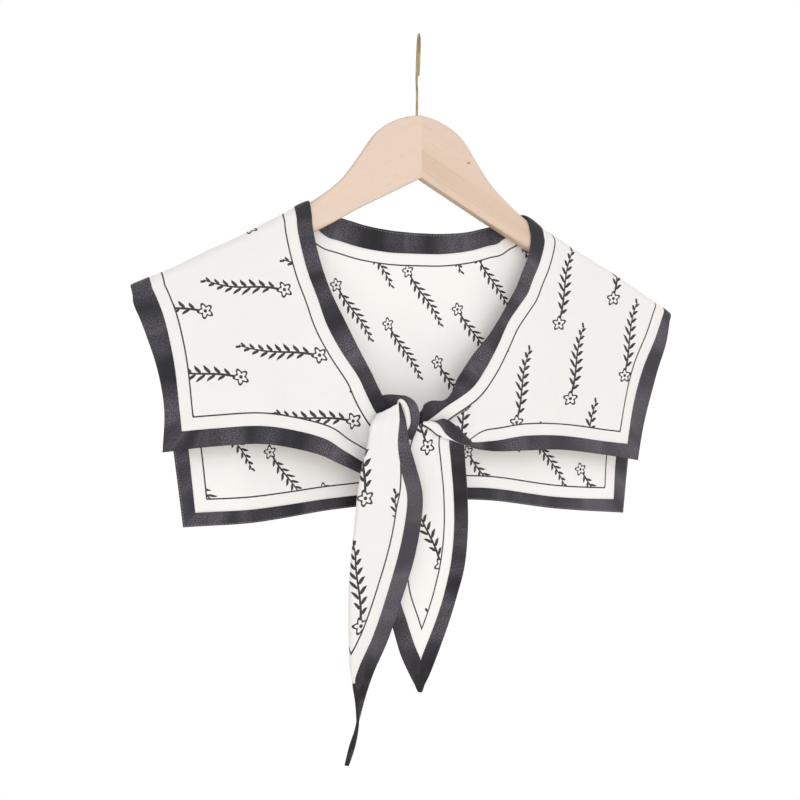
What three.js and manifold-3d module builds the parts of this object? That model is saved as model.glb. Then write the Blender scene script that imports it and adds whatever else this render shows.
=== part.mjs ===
// A detachable satin collar with two tie ends in a half knot, on a plain wooden hanger with a metal hook.
// Millimetres, +X to the right as seen from the front, +Y to the back, +Z up.
// The origin is the inside top of the hook, where a rail holds the hanger.
import * as THREE from 'three';
import { mergeVertices } from 'three/addons/utils/BufferGeometryUtils.js';
import Module from 'manifold-3d';

const wasm = await Module();
wasm.setup();

// Cloth. Two satin layers sewn edge to edge stand as one wall.
const WALL = 1.2;
const SEAM_GAP = 0.3;
const BAND = 12;
const BACK_NECK_BAND = 16;
const BACK_HEM_BAND = 10.4;

// The shoulder folds. Cloth goes over each arm of the hanger on a half round of this radius.
const NECK_POINT = { x: 89, z: -134 };
const SHOULDER_SLOPE = THREE.MathUtils.degToRad(28);
const FOLD_RADIUS = 7.4;
const FOLD_ARC = FOLD_RADIUS * Math.PI / 2;
const FOLD_STEPS = 8;

// How far each front is drawn forward at the knot, and the soft waves of the hanging cloth.
const KNOT = { x: -20, z: -297, forward: 13, halfWidth: 75, halfHeight: 62 };
const FRONT_WAVE = { depth: 1.8, length: 74, phase: 0.6 };
const BACK_WAVE = { depth: 1.5, length: 96, phase: 1.1 };
const WAVE_START = 30;
const WAVE_FULL = 110;

// Fronts of the collar, from the knot up to the shoulder. x is measured outwards from the middle, tuck
// is how far a section passes back into the knot, and band and hem are the widths of the neck band and
// the outer band. A gathered section is bunched at the knot, and its bands are measured along it.
const FRONT_LEFT = [
  { neckX: 27, neckZ: -297, outerX: 31, outerZ: -319, tuck: 0, band: 11, hem: 7, gather: true },
  { neckX: 37, neckZ: -281, outerX: 54, outerZ: -336.5, tuck: 0, band: BAND, hem: 12.5 },
  { neckX: 46.5, neckZ: -262, outerX: 86, outerZ: -321.5, tuck: 0, band: BAND, hem: 13 },
  { neckX: 57, neckZ: -242, outerX: 124, outerZ: -316, tuck: 0, band: BAND, hem: 13.6 },
  { neckX: 66.5, neckZ: -222, outerX: 161, outerZ: -317.7, tuck: 0, band: BAND, hem: 13.8 },
  { neckX: 74.5, neckZ: -204, outerX: 197.5, outerZ: -321.5, tuck: 0, band: BAND, hem: 14.2, corner: true },
  { neckX: 80.5, neckZ: -187, outerX: 197, outerZ: -291, tuck: 0, band: BAND, hem: 10.8 },
  { neckX: 85, neckZ: -170, outerX: 202, outerZ: -261.5, tuck: 0, band: BAND, hem: 12.2 },
  { neckX: 88, neckZ: -154, outerX: 211.3, outerZ: -231.3, tuck: 0, band: BAND, hem: 14.4 },
];
const FRONT_RIGHT = [
  { neckX: -3.5, neckZ: -292, outerX: -8, outerZ: -304.5, tuck: 4.5, band: 10, hem: 1, gather: true },
  { neckX: -1.6, neckZ: -287.5, outerX: -6.8, outerZ: -304.5, tuck: 0.8, band: 14.5, hem: 1, gather: true },
  { neckX: 4.5, neckZ: -283, outerX: 3, outerZ: -303.5, tuck: 0, band: 13, hem: 1.5, gather: true },
  { neckX: 15, neckZ: -282, outerX: 14, outerZ: -305, tuck: 0, band: 6, hem: 1.5, gather: true },
  { neckX: 29, neckZ: -263, outerX: 32.5, outerZ: -316.5, tuck: 0, band: BAND, hem: 1.8, twist: true },
  { neckX: 40, neckZ: -248.5, outerX: 56, outerZ: -321.5, tuck: 0, band: BAND, hem: 7 },
  { neckX: 54, neckZ: -233, outerX: 86, outerZ: -321.2, tuck: 0, band: BAND, hem: 9.5 },
  { neckX: 66.5, neckZ: -215.5, outerX: 121, outerZ: -320.7, tuck: 0, band: BAND, hem: 10.8 },
  { neckX: 74, neckZ: -202.5, outerX: 156, outerZ: -324.5, tuck: 0, band: BAND, hem: 11.8 },
  { neckX: 80, neckZ: -191.5, outerX: 191.5, outerZ: -329, tuck: 0, band: BAND, hem: 13, corner: true },
  { neckX: 85, neckZ: -181, outerX: 200.6, outerZ: -291, tuck: 0, band: BAND, hem: 14 },
  { neckX: 89, neckZ: -169, outerX: 211, outerZ: -259, tuck: 0, band: BAND, hem: 14 },
  { neckX: 92.5, neckZ: -155, outerX: 221, outerZ: -234, tuck: 0, band: BAND, hem: 11.5 },
];

// Where the neck edge and the outer edge cross each shoulder, in millimetres along the fold, and the
// widths of the bands there.
const SHOULDER_LEFT = { neckFront: 4, neckBack: -5, outer: 146, band: 12.8, hem: 11 };
const SHOULDER_RIGHT = { neckFront: 7, neckBack: -5, outer: 157, band: 12.8, hem: 8 };

// Halves of the back, from the shoulder down and in to the middle.
const BACK_LEFT = [
  { neckX: 77, neckZ: -140, outerX: 205, outerZ: -233, band: 13.3, hem: 12.3 },
  { neckX: 72.5, neckZ: -141.5, outerX: 194, outerZ: -272, band: 14.6, hem: 12.3 },
  { neckX: 67, neckZ: -143, outerX: 186, outerZ: -322, band: BACK_NECK_BAND, hem: 12.3 },
  { neckX: 59.5, neckZ: -144.7, outerX: 179.5, outerZ: -373.5, band: BACK_NECK_BAND, hem: 11, corner: true },
  { neckX: 43, neckZ: -148.8, outerX: 125, outerZ: -372.5, band: BACK_NECK_BAND, hem: BACK_HEM_BAND },
  { neckX: 22, neckZ: -151.3, outerX: 60, outerZ: -364, band: BACK_NECK_BAND, hem: BACK_HEM_BAND },
  { neckX: 0, neckZ: -152, outerX: 0, outerZ: -360, band: BACK_NECK_BAND, hem: BACK_HEM_BAND },
];
const BACK_RIGHT = [
  { neckX: 77, neckZ: -140, outerX: 213, outerZ: -237, band: 13.3, hem: 12.3 },
  { neckX: 72.5, neckZ: -141.5, outerX: 203, outerZ: -277, band: 14.6, hem: 12.3 },
  { neckX: 67, neckZ: -143, outerX: 193, outerZ: -325, band: BACK_NECK_BAND, hem: 12.3 },
  { neckX: 59.5, neckZ: -144.7, outerX: 187, outerZ: -371, band: BACK_NECK_BAND, hem: 11, corner: true },
  { neckX: 43, neckZ: -148.8, outerX: 125, outerZ: -368.5, band: BACK_NECK_BAND, hem: BACK_HEM_BAND },
  { neckX: 22, neckZ: -151.3, outerX: 60, outerZ: -361.5, band: BACK_NECK_BAND, hem: BACK_HEM_BAND },
  { neckX: 0, neckZ: -152, outerX: 0, outerZ: -360, band: BACK_NECK_BAND, hem: BACK_HEM_BAND },
];
const FIELD_CELLS = 8;
const ROWS_PER_SECTION = 3;

// Of the six lines along the collar, the first three follow the neck edge and the others the outer one.
const NECK_LINES = 3;

// The rear tie end, from the ledge of the knot down to its point. band is the width of its right band.
const TIE_RIGHT = [
  { leftX: -17, leftZ: -303, rightX: 2.5, rightZ: -297.2, y: -21.2, band: 1.5 },
  { leftX: -18.5, leftZ: -305.5, rightX: 10, rightZ: -296.6, y: -22.6, band: 6 },
  { leftX: -20.5, leftZ: -308.5, rightX: 21.5, rightZ: -302.6, y: -23.6, band: 10 },
  { leftX: -23, leftZ: -313, rightX: 31.8, rightZ: -315, y: -24.4, band: 13 },
  { leftX: -26, leftZ: -320, rightX: 28.8, rightZ: -320.5, y: -22.6, band: 12.5 },
  { leftX: -30, leftZ: -332, rightX: 29.8, rightZ: -331, y: -20.8, band: BAND },
  { leftX: -35, leftZ: -352, rightX: 32, rightZ: -352, y: -20, band: BAND },
  { leftX: -40, leftZ: -380, rightX: 32.3, rightZ: -380, y: -20, band: BAND },
  { leftX: -40.5, leftZ: -408, rightX: 29.3, rightZ: -408, y: -20, band: BAND },
  { leftX: -36.5, leftZ: -430, rightX: 22.9, rightZ: -430, y: -20, band: BAND },
  { leftX: -29.5, leftZ: -451, rightX: 15.7, rightZ: -451, y: -20, band: BAND },
  { leftX: -23, leftZ: -472, rightX: 7.5, rightZ: -472, y: -20, band: BAND },
  { leftX: -15.5, leftZ: -488, rightX: 0.6, rightZ: -488, y: -20, band: BAND },
  { leftX: -9, leftZ: -501, rightX: -5.4, rightZ: -501, y: -20, band: BAND },
];
const TIE_RIGHT_BULGE = 2.5;
const TIE_RIGHT_FULL = 60;

// The front tie end, folded lengthwise at its left edge. rear is the share of the width that the leaf
// behind covers, and turn is the twist of the section in degrees.
const TIE_LEFT = [
  { leftX: -43, leftZ: -294, rightX: -25.4, rightZ: -290, band: 1, rear: 0.3, turn: 0 },
  { leftX: -50.5, leftZ: -302, rightX: -23.4, rightZ: -301, band: 5.2, rear: 0.3, turn: 0 },
  { leftX: -53, leftZ: -316, rightX: -20.8, rightZ: -316, band: 9.2, rear: 0.3, turn: 0 },
  { leftX: -57.5, leftZ: -332, rightX: -16.5, rightZ: -332, band: BAND, rear: 0.5, turn: 0 },
  { leftX: -61, leftZ: -353, rightX: -10.4, rightZ: -353, band: BAND, rear: 0.7, turn: 0 },
  { leftX: -62.5, leftZ: -375, rightX: -11.4, rightZ: -375, band: BAND, rear: 0.75, turn: 0 },
  { leftX: -65.5, leftZ: -402, rightX: -15.7, rightZ: -402, band: BAND, rear: 0.75, turn: 0 },
  { leftX: -67, leftZ: -430, rightX: -25, rightZ: -430, band: BAND, rear: 0.75, turn: 0 },
  { leftX: -66.6, leftZ: -458, rightX: -37, rightZ: -458, band: BAND, rear: 0.75, turn: 0 },
  { leftX: -65.2, leftZ: -482, rightX: -49, rightZ: -482, band: BAND, rear: 0.75, turn: 0 },
  { leftX: -62.6, leftZ: -504, rightX: -56.3, rightZ: -504, band: BAND, rear: 0.75, turn: 25 },
  { leftX: -63.4, leftZ: -518, rightX: -58.6, rightZ: -518, band: BAND, rear: 0.75, turn: 80 },
  { leftX: -66.8, leftZ: -533, rightX: -62.4, rightZ: -533, band: BAND, rear: 0.75, turn: 130 },
  { leftX: -69.6, leftZ: -546, rightX: -66.9, rightZ: -546, band: BAND, rear: 0.75, turn: 150 },
];
const TIE_LEFT_Y = -31.6;
const TIE_LEFT_FOLD_RADIUS = 2.6;
const TIE_LEFT_FOLD_SHARE = 0.22;

// The strap that arches over the knot, from behind the left front over the top and down to the tie end.
// band is the share of its width that is black.
const KNOT_WRAP = [
  { outerX: -43, outerY: -14.6, outerZ: -305, innerX: -30, innerY: -14.6, innerZ: -307, band: 0.8 },
  { outerX: -43, outerY: -15.4, outerZ: -292, innerX: -31.5, innerY: -15.8, innerZ: -299, band: 0.8 },
  { outerX: -37.5, outerY: -17, outerZ: -281, innerX: -31.5, innerY: -17.4, innerZ: -292, band: 0.85 },
  { outerX: -33.2, outerY: -21.4, outerZ: -279.2, innerX: -27.5, innerY: -22.4, innerZ: -290.5, band: 0.85 },
  { outerX: -27, outerY: -26, outerZ: -279.8, innerX: -25, innerY: -27.5, innerZ: -289, band: 0.5 },
  { outerX: -20.8, outerY: -28, outerZ: -280.9, innerX: -24, innerY: -29.5, innerZ: -291, band: 0.58 },
  { outerX: -14.3, outerY: -28, outerZ: -285.4, innerX: -23.5, innerY: -29.5, innerZ: -294, band: 0.66 },
  { outerX: -11.4, outerY: -27.5, outerZ: -292.9, innerX: -23.5, innerY: -29.5, innerZ: -298, band: 0.66 },
  { outerX: -11.9, outerY: -27.5, outerZ: -300.4, innerX: -23.5, innerY: -29.5, innerZ: -302.5, band: 0.66 },
  { outerX: -14.4, outerY: -27.5, outerZ: -307.8, innerX: -25, innerY: -29.5, innerZ: -307, band: 0.7 },
  { outerX: -17.2, outerY: -27.5, outerZ: -313, innerX: -26, innerY: -29.3, innerZ: -312, band: 0.75 },
];

// The hanger: two wooden arms glued at the middle.
const HANGER = {
  thickness: 12,
  round: 5.5,
  roundSteps: 4,
  armDepth: 25,
  apexZ: -113,
  topSteps: 26,
  endSteps: 7,
  joint: 0.3,
};
const HANGER_TOP = [
  { x: 0, z: -62 },
  { x: 14, z: -65.6 },
  { x: 30, z: -76.3 },
  { x: 47.5, z: -98 },
  { x: 66, z: -118.6 },
  { x: 89, z: -135.2 },
  { x: 150, z: -167.6 },
  { x: 205, z: -196.9 },
];

// The hook: a wire that stands in the joint of the arms and bends round a rail. It is turned nearly
// square to the hanger. bendStart and bendEnd are angles round the bend, in degrees.
const HOOK = {
  wire: 0.95,
  hole: 1.3,
  bend: 20,
  footZ: -78,
  shankTopZ: -45,
  turn: 69.6,
  bendStart: -42,
  bendEnd: 220,
  steps: 44,
  sides: 10,
};
const HOOK_BEND_POINTS = 14;

const satinIvory = { color: 0xf4efe8, roughness: 0.55, metalness: 0 };
const satinBlack = { color: 0x38363c, roughness: 0.45, metalness: 0 };
const beech = { color: 0xe6cbb0, roughness: 0.6, metalness: 0 };
const wireBrass = { color: 0xa08a56, roughness: 0.35, metalness: 1 };

const collar = new THREE.Group();
collar.name = 'collar_on_hanger';

function addPiece(name, geometry, finish) {
  const mesh = new THREE.Mesh(geometry, new THREE.MeshStandardMaterial(finish));
  mesh.name = name;
  collar.add(mesh);
}

// Cloth as a grid of points on its middle surface, made into a wall.

function gridNormals(grid) {
  const along = new THREE.Vector3();
  const across = new THREE.Vector3();
  return grid.map((row, i) => row.map((point, j) => {
    along.subVectors(grid[Math.min(i + 1, grid.length - 1)][j], grid[Math.max(i - 1, 0)][j]);
    across.subVectors(row[Math.min(j + 1, row.length - 1)], row[Math.max(j - 1, 0)]);
    return new THREE.Vector3().crossVectors(along, across).normalize();
  }));
}

// The wall covers the cells for which isPart(row, column) holds, with a side wherever they end.
function clothWall(grid, isPart) {
  const rows = grid.length - 1;
  const columns = grid[0].length - 1;
  const normals = gridNormals(grid);
  const positions = [];
  const indices = [];
  const slots = new Map();
  const inside = (i, j) => i >= 0 && i < rows && j >= 0 && j < columns && isPart(i, j);

  function vertex(i, j, face) {
    const key = `${i},${j},${face}`;
    if (!slots.has(key)) {
      const point = grid[i][j].clone().addScaledVector(normals[i][j], face * WALL / 2);
      slots.set(key, positions.length / 3);
      positions.push(point.x, point.y, point.z);
    }
    return slots.get(key);
  }

  // Each cell is halved along its shorter diagonal.
  function quad(corners, face) {
    const [a, b, c, d] = corners.map(([i, j]) => vertex(i, j, face));
    const [p, q, r, s] = corners.map(([i, j]) => grid[i][j]);
    const cell = p.distanceTo(r) < q.distanceTo(s) ? [a, b, c, a, c, d] : [a, b, d, b, c, d];
    indices.push(...(face > 0 ? cell : cell.reverse()));
  }

  for (let i = 0; i < rows; i += 1) {
    for (let j = 0; j < columns; j += 1) {
      if (!inside(i, j)) continue;
      const corners = [[i, j], [i + 1, j], [i + 1, j + 1], [i, j + 1]];
      quad(corners, 1);
      quad(corners, -1);
      const neighbours = [[i, j - 1], [i + 1, j], [i, j + 1], [i - 1, j]];
      neighbours.forEach(([ni, nj], side) => {
        if (inside(ni, nj)) return;
        const [from, to] = [corners[side], corners[(side + 1) % corners.length]];
        const [fromTop, fromUnder] = [vertex(...from, 1), vertex(...from, -1)];
        const [toTop, toUnder] = [vertex(...to, 1), vertex(...to, -1)];
        indices.push(fromTop, fromUnder, toUnder, fromTop, toUnder, toTop);
      });
    }
  }
  const geometry = new THREE.BufferGeometry();
  geometry.setAttribute('position', new THREE.Float32BufferAttribute(positions, 3));
  geometry.setIndex(indices);
  return geometry;
}

// Points of a smooth curve through the given ones, with the same number of steps in each span.
// A corner in the list ends one curve and starts the next.
function densify(points, steps, corners) {
  const stops = [0, ...corners, points.length - 1];
  const result = [points[0]];
  for (let s = 0; s + 1 < stops.length; s += 1) {
    const stretch = points.slice(stops[s], stops[s + 1] + 1);
    const curve = new THREE.CatmullRomCurve3(stretch, false, 'centripetal');
    for (let span = 0; span + 1 < stretch.length; span += 1) {
      const count = steps[stops[s] + span];
      for (let k = 1; k <= count; k += 1) {
        result.push(curve.getPoint((span + k / count) / (stretch.length - 1)));
      }
    }
  }
  return result;
}

// The collar is worked out flat, on each side of the shoulder fold: along runs down the fold from the
// neck, and across is the distance from the fold, positive to the front and negative to the back.

function unfold(xOutwards, z, face) {
  const dx = xOutwards - NECK_POINT.x;
  const dz = NECK_POINT.z - z;
  const along = dx * Math.cos(SHOULDER_SLOPE) + dz * Math.sin(SHOULDER_SLOPE);
  const depth = dz * Math.cos(SHOULDER_SLOPE) - dx * Math.sin(SHOULDER_SLOPE);
  return new THREE.Vector3(along, face * (depth - FOLD_RADIUS + FOLD_ARC), 0);
}

function smoothStep(value, start, end) {
  return THREE.MathUtils.smoothstep(value, start, end);
}

function relief(x, z, face, drop) {
  const fade = smoothStep(drop, WAVE_START, WAVE_FULL);
  if (face < 0) {
    return BACK_WAVE.depth * fade * (1 + Math.sin(2 * Math.PI * x / BACK_WAVE.length + BACK_WAVE.phase));
  }
  const dx = (x - KNOT.x) / KNOT.halfWidth;
  const dz = (z - KNOT.z) / KNOT.halfHeight;
  const pull = Math.exp(-(dx * dx + dz * dz));
  const wave = FRONT_WAVE.depth * (1 + Math.sin(2 * Math.PI * x / FRONT_WAVE.length + FRONT_WAVE.phase));
  return -KNOT.forward * pull - wave * fade * (1 - pull);
}

function hang(side, flat, tuck) {
  const face = flat.y < 0 ? -1 : 1;
  const distance = Math.abs(flat.y);
  const angle = Math.min(distance / FOLD_RADIUS, Math.PI / 2);
  const drop = Math.max(distance - FOLD_ARC, 0);
  const depth = FOLD_RADIUS * (1 - Math.cos(angle)) + drop;
  const along = flat.x;
  const x = side * (NECK_POINT.x + along * Math.cos(SHOULDER_SLOPE) - depth * Math.sin(SHOULDER_SLOPE));
  const z = NECK_POINT.z - along * Math.sin(SHOULDER_SLOPE) - depth * Math.cos(SHOULDER_SLOPE);
  const y = -face * FOLD_RADIUS * Math.sin(angle) + relief(x, z, face, drop) + tuck;
  return new THREE.Vector3(x, y, z);
}

// A line moved inwards by a width of its own at each point, with mitred corners. Where a section is
// gathered its point is moved along the section.
function inset(line, inwards, widths, gathered) {
  return line.map((point, i) => {
    const before = new THREE.Vector3().subVectors(point, line[Math.max(i - 1, 0)]).normalize();
    const after = new THREE.Vector3().subVectors(line[Math.min(i + 1, line.length - 1)], point).normalize();
    if (i === 0) before.copy(after);
    if (i === line.length - 1) after.copy(before);
    const tangent = before.clone().add(after).normalize();
    const normal = new THREE.Vector3(-tangent.y, tangent.x, 0);
    const section = new THREE.Vector3().subVectors(inwards[i], point).normalize();
    if (gathered[i]) return point.clone().addScaledVector(section, widths[i]);
    const side = Math.sign(normal.dot(section));
    return point.clone().addScaledVector(normal, side * widths[i] / tangent.dot(after));
  });
}

// One half of the collar as rows of points from the neck edge to the outer edge, from the knot round
// the shoulder to the middle of the back.
function collarHalf(side, front, shoulder, back) {
  const neck = [];
  const outer = [];
  const tuck = [];
  const hemBand = [];
  const neckBand = [];
  const corners = [];
  const gathered = [];
  const stepCounts = [];
  let twistRow = 0;

  function section(neckPoint, outerPoint, values) {
    neck.push(neckPoint);
    outer.push(outerPoint);
    tuck.push(values.tuck ?? 0);
    hemBand.push(values.hem);
    neckBand.push(values.band);
    stepCounts.push(values.steps ?? ROWS_PER_SECTION);
    gathered.push(Boolean(values.gather));
    if (values.corner) corners.push(neck.length - 1);
  }

  front.forEach((row, i) => {
    if (row.twist) twistRow = i * ROWS_PER_SECTION;
    const neckPoint = unfold(row.neckX, row.neckZ, 1);
    const outerPoint = unfold(row.outerX, row.outerZ, 1);
    section(neckPoint, outerPoint, row);
  });
  for (let k = 0; k <= FOLD_STEPS; k += 1) {
    const share = k / FOLD_STEPS;
    const across = FOLD_ARC * (1 - 2 * share);
    const neckAlong = THREE.MathUtils.lerp(shoulder.neckFront, shoulder.neckBack, share);
    const neckPoint = new THREE.Vector3(neckAlong, across, 0);
    const outerPoint = new THREE.Vector3(shoulder.outer, across, 0);
    const steps = k === FOLD_STEPS ? ROWS_PER_SECTION : 1;
    section(neckPoint, outerPoint, { ...shoulder, steps, gather: true });
  }
  back.forEach((row) => section(unfold(row.neckX, row.neckZ, -1), unfold(row.outerX, row.outerZ, -1), row));

  const half = SEAM_GAP / 2;
  const neckSeam = (offset) => inset(neck, outer, neckBand.map((width) => width + offset), gathered);
  const hemSeam = (offset) => inset(outer, neck, hemBand.map((width) => width + offset), gathered);
  const edges = [neck, neckSeam(-half), neckSeam(half), hemSeam(half), hemSeam(-half), outer];
  const [neckLine, neckIn, fieldStart, fieldEnd, hemIn, outerLine] = edges.map(
    (line, i) => densify(line, stepCounts, i < NECK_LINES ? [] : corners),
  );
  const tuckLine = densify(tuck.map((value) => new THREE.Vector3(value, 0, 0)), stepCounts, []);

  const rows = neckLine.map((_, i) => {
    const flat = [neckLine[i], neckIn[i]];
    for (let k = 0; k <= FIELD_CELLS; k += 1) {
      flat.push(fieldStart[i].clone().lerp(fieldEnd[i], k / FIELD_CELLS));
    }
    flat.push(hemIn[i], outerLine[i]);
    return flat.map((point) => hang(side, point, tuckLine[i].x));
  });
  return { rows, twistRow };
}

const left = collarHalf(-1, FRONT_LEFT, SHOULDER_LEFT, BACK_LEFT);
const right = collarHalf(1, FRONT_RIGHT, SHOULDER_RIGHT, BACK_RIGHT);
const collarGrid = [...left.rows, ...right.rows.slice(0, -1).reverse()];
const collarRows = collarGrid.length - 1;
const collarColumns = collarGrid[0].length - 1;
const hemEnd = collarRows - right.twistRow;

const NECK_CELL = 0;
const FIELD_FIRST = 2;
const FIELD_LAST = FIELD_FIRST + FIELD_CELLS - 1;
const HEM_CELL = collarColumns - 1;

// Past the twist the outer band has turned under, so the field reaches the edge there.
function isField(i, j) {
  const reachesEdge = i > hemEnd;
  return j >= FIELD_FIRST && (j <= FIELD_LAST || reachesEdge);
}

addPiece('collar_cloth', clothWall(collarGrid, isField), satinIvory);
addPiece('neck_border', clothWall(collarGrid, (i, j) => j === NECK_CELL), satinBlack);
addPiece('hem_border', clothWall(collarGrid, (i, j) => j === HEM_CELL && i < hemEnd), satinBlack);

// Sections of a tie end or strap, as points of a smooth table row.
function smoothTable(table, stepsPerRow) {
  const names = Object.keys(table[0]);
  const curves = names.map((name) => new THREE.CatmullRomCurve3(
    table.map((row, i) => new THREE.Vector3(row[name], i, 0)),
    false,
    'catmullrom',
    0.5,
  ));
  const count = (table.length - 1) * stepsPerRow;
  return Array.from({ length: count + 1 }, (_, i) => {
    const row = {};
    names.forEach((name, k) => {
      row[name] = curves[k].getPoint(i / count).x;
    });
    return row;
  });
}

// A tie end has a band of cells along each edge and the field between them, a seam gap apart. Where
// the end is too narrow for a field, it is all band.
const BAND_CELLS = 1;
const CORE = 1.2;

function spread(from, to, cells) {
  return Array.from({ length: cells + 1 }, (_, k) => THREE.MathUtils.lerp(from, to, k / cells));
}

// The seam gap between the last row of the field and the first row that is all band.
function splitAtTip(rows, sectionOf) {
  const grid = [];
  let fieldRows = 0;
  rows.forEach((row, i) => {
    const section = sectionOf(row, i);
    if (section.allBand && fieldRows === 0) {
      fieldRows = grid.length - 1;
      const length = grid[fieldRows][0].distanceTo(section.points[0]);
      grid.push(grid[fieldRows].map((point, j) => point.clone().lerp(section.points[j], SEAM_GAP / length)));
    }
    grid.push(section.points);
  });
  return { grid, fieldRows };
}

function addTieEnd(name, rows, sectionOf) {
  const { grid, fieldRows } = splitAtTip(rows, sectionOf);
  const cells = grid[0].length - 1;
  const isBand = (i, j) => j < BAND_CELLS || j >= cells - BAND_CELLS || i > fieldRows;
  const isTieField = (i, j) => i < fieldRows && j > BAND_CELLS && j < cells - BAND_CELLS - 1;
  addPiece(name, clothWall(grid, isTieField), satinIvory);
  addPiece(`${name}_border`, clothWall(grid, isBand), satinBlack);
}

// The length of a row that a band of the given width covers, where the edge runs slanting to the row.
const STEEPEST_BAND = 2.8;

function bandReach(rows, i, edgeX, edgeZ, width) {
  const before = rows[Math.max(i - 1, 0)];
  const after = rows[Math.min(i + 1, rows.length - 1)];
  const tangent = new THREE.Vector2(after[edgeX] - before[edgeX], after[edgeZ] - before[edgeZ]).normalize();
  const row = rows[i];
  const across = new THREE.Vector2(row.rightX - row.leftX, row.rightZ - row.leftZ).normalize();
  return width * Math.min(1 / Math.abs(tangent.cross(across)), STEEPEST_BAND);
}

// The rear tie end is a flat blade that bulges a little forward between its edges.
const BLADE_CELLS = 4;
const LEDGE_ROWS = 10;
const LEDGE_LEFT_BAND = 0.6;
const TIE_STEPS = 2;
const tieRightRows = smoothTable(TIE_RIGHT, TIE_STEPS);

addTieEnd('tie_end_right', tieRightRows, (row, i) => {
  const start = new THREE.Vector3(row.leftX, row.y, row.leftZ);
  const end = new THREE.Vector3(row.rightX, row.y, row.rightZ);
  const width = start.distanceTo(end);
  const onLedge = i < LEDGE_ROWS;
  const leftBand = onLedge ? row.band * LEDGE_LEFT_BAND : bandReach(tieRightRows, i, 'leftX', 'leftZ', BAND);
  const rightBand = onLedge ? row.band : bandReach(tieRightRows, i, 'rightX', 'rightZ', BAND);
  const widest = (width - CORE) / 2 - SEAM_GAP;
  const leftEnd = Math.min(leftBand, widest);
  const rightStart = width - Math.min(rightBand, widest);
  const distances = [
    ...spread(0, leftEnd, BAND_CELLS),
    ...spread(leftEnd + SEAM_GAP, rightStart - SEAM_GAP, BLADE_CELLS),
    ...spread(rightStart, width, BAND_CELLS),
  ];
  const points = distances.map((distance) => {
    const share = distance / width;
    const point = start.clone().lerp(end, share);
    point.y -= TIE_RIGHT_BULGE * Math.sin(Math.PI * share) * Math.min(width / TIE_RIGHT_FULL, 1);
    return point;
  });
  return { points, allBand: !onLedge && leftBand + rightBand > 2 * widest };
});

// The front tie end is folded lengthwise. Its section goes from the right edge of the front leaf to
// the fold on the left, round it, and back along the leaf behind.
const LEAF_CELLS = 3;
const ROLL_CELLS = 4;
const REAR_CELLS = 2;
const NARROW_TOP_ROWS = 3 * TIE_STEPS;
const tieLeftRows = smoothTable(TIE_LEFT, TIE_STEPS);

function foldedSection(row, distances, frontWidth, radius) {
  const roll = Math.PI * radius;
  const centreX = (row.leftX + row.rightX) / 2;
  const centre = new THREE.Vector3(centreX, TIE_LEFT_Y + radius, (row.leftZ + row.rightZ) / 2);
  const slope = (row.rightZ - row.leftZ) / (row.rightX - row.leftX);
  const turn = THREE.MathUtils.degToRad(row.turn);
  const upright = new THREE.Vector3(0, 0, 1);
  return distances.map((distance) => {
    let x = row.rightX - distance;
    let y = TIE_LEFT_Y;
    if (distance > frontWidth) {
      const angle = Math.min((distance - frontWidth) / radius, Math.PI);
      x = row.rightX - frontWidth - radius * Math.sin(angle) + Math.max(distance - frontWidth - roll, 0);
      y = TIE_LEFT_Y + radius * (1 - Math.cos(angle));
    }
    const offset = new THREE.Vector3(x - centre.x, y - centre.y, slope * (x - centre.x));
    return offset.applyAxisAngle(upright, turn).add(centre);
  });
}

addTieEnd('tie_end_left', tieLeftRows, (row, i) => {
  const shown = row.rightX - row.leftX;
  const radius = Math.min(TIE_LEFT_FOLD_RADIUS, shown * TIE_LEFT_FOLD_SHARE);
  const frontWidth = shown - radius;
  const rollEnd = frontWidth + Math.PI * radius;
  const rearWidth = frontWidth * row.rear;
  const slanted = bandReach(tieLeftRows, i, 'rightX', 'rightZ', row.band);
  const wanted = i < NARROW_TOP_ROWS ? row.band : slanted;
  const front = Math.min(wanted, frontWidth - CORE);
  const rear = Math.min(BAND, rearWidth - CORE);
  const distances = [
    ...spread(0, front, BAND_CELLS),
    ...spread(front + SEAM_GAP, frontWidth, LEAF_CELLS),
    ...spread(frontWidth, rollEnd, ROLL_CELLS).slice(1),
    ...spread(rollEnd, rollEnd + rearWidth - rear - SEAM_GAP, REAR_CELLS).slice(1),
    ...spread(rollEnd + rearWidth - rear, rollEnd + rearWidth, BAND_CELLS),
  ];
  const points = foldedSection(row, distances, frontWidth, radius);
  return { points, allBand: wanted > frontWidth - CORE };
});

// The strap over the knot, with its band along the outer edge.
const WRAP_CELLS = 3;
const wrapGrid = smoothTable(KNOT_WRAP, 2).map((row) => {
  const outer = new THREE.Vector3(row.outerX, row.outerY, row.outerZ);
  const inner = new THREE.Vector3(row.innerX, row.innerY, row.innerZ);
  const width = outer.distanceTo(inner);
  const seam = row.band * width;
  const distances = [0, seam / 2, seam];
  for (let k = 0; k <= WRAP_CELLS; k += 1) {
    distances.push(THREE.MathUtils.lerp(seam + SEAM_GAP, width, k / WRAP_CELLS));
  }
  return distances.map((distance) => outer.clone().lerp(inner, distance / width));
});
addPiece('knot_wrap', clothWall(wrapGrid, (i, j) => j > 2), satinIvory);
addPiece('knot_wrap_border', clothWall(wrapGrid, (i, j) => j < 2), satinBlack);

// Solids for the hanger, joined and cut.

function solidOf(geometry) {
  const source = geometry.index ? geometry.toNonIndexed() : geometry.clone();
  source.deleteAttribute('normal');
  source.deleteAttribute('uv');
  const merged = mergeVertices(source, 1e-4);
  return new wasm.Manifold(new wasm.Mesh({
    numProp: 3,
    vertProperties: Float32Array.from(merged.attributes.position.array),
    triVerts: Uint32Array.from(merged.index.array),
  }));
}

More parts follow.
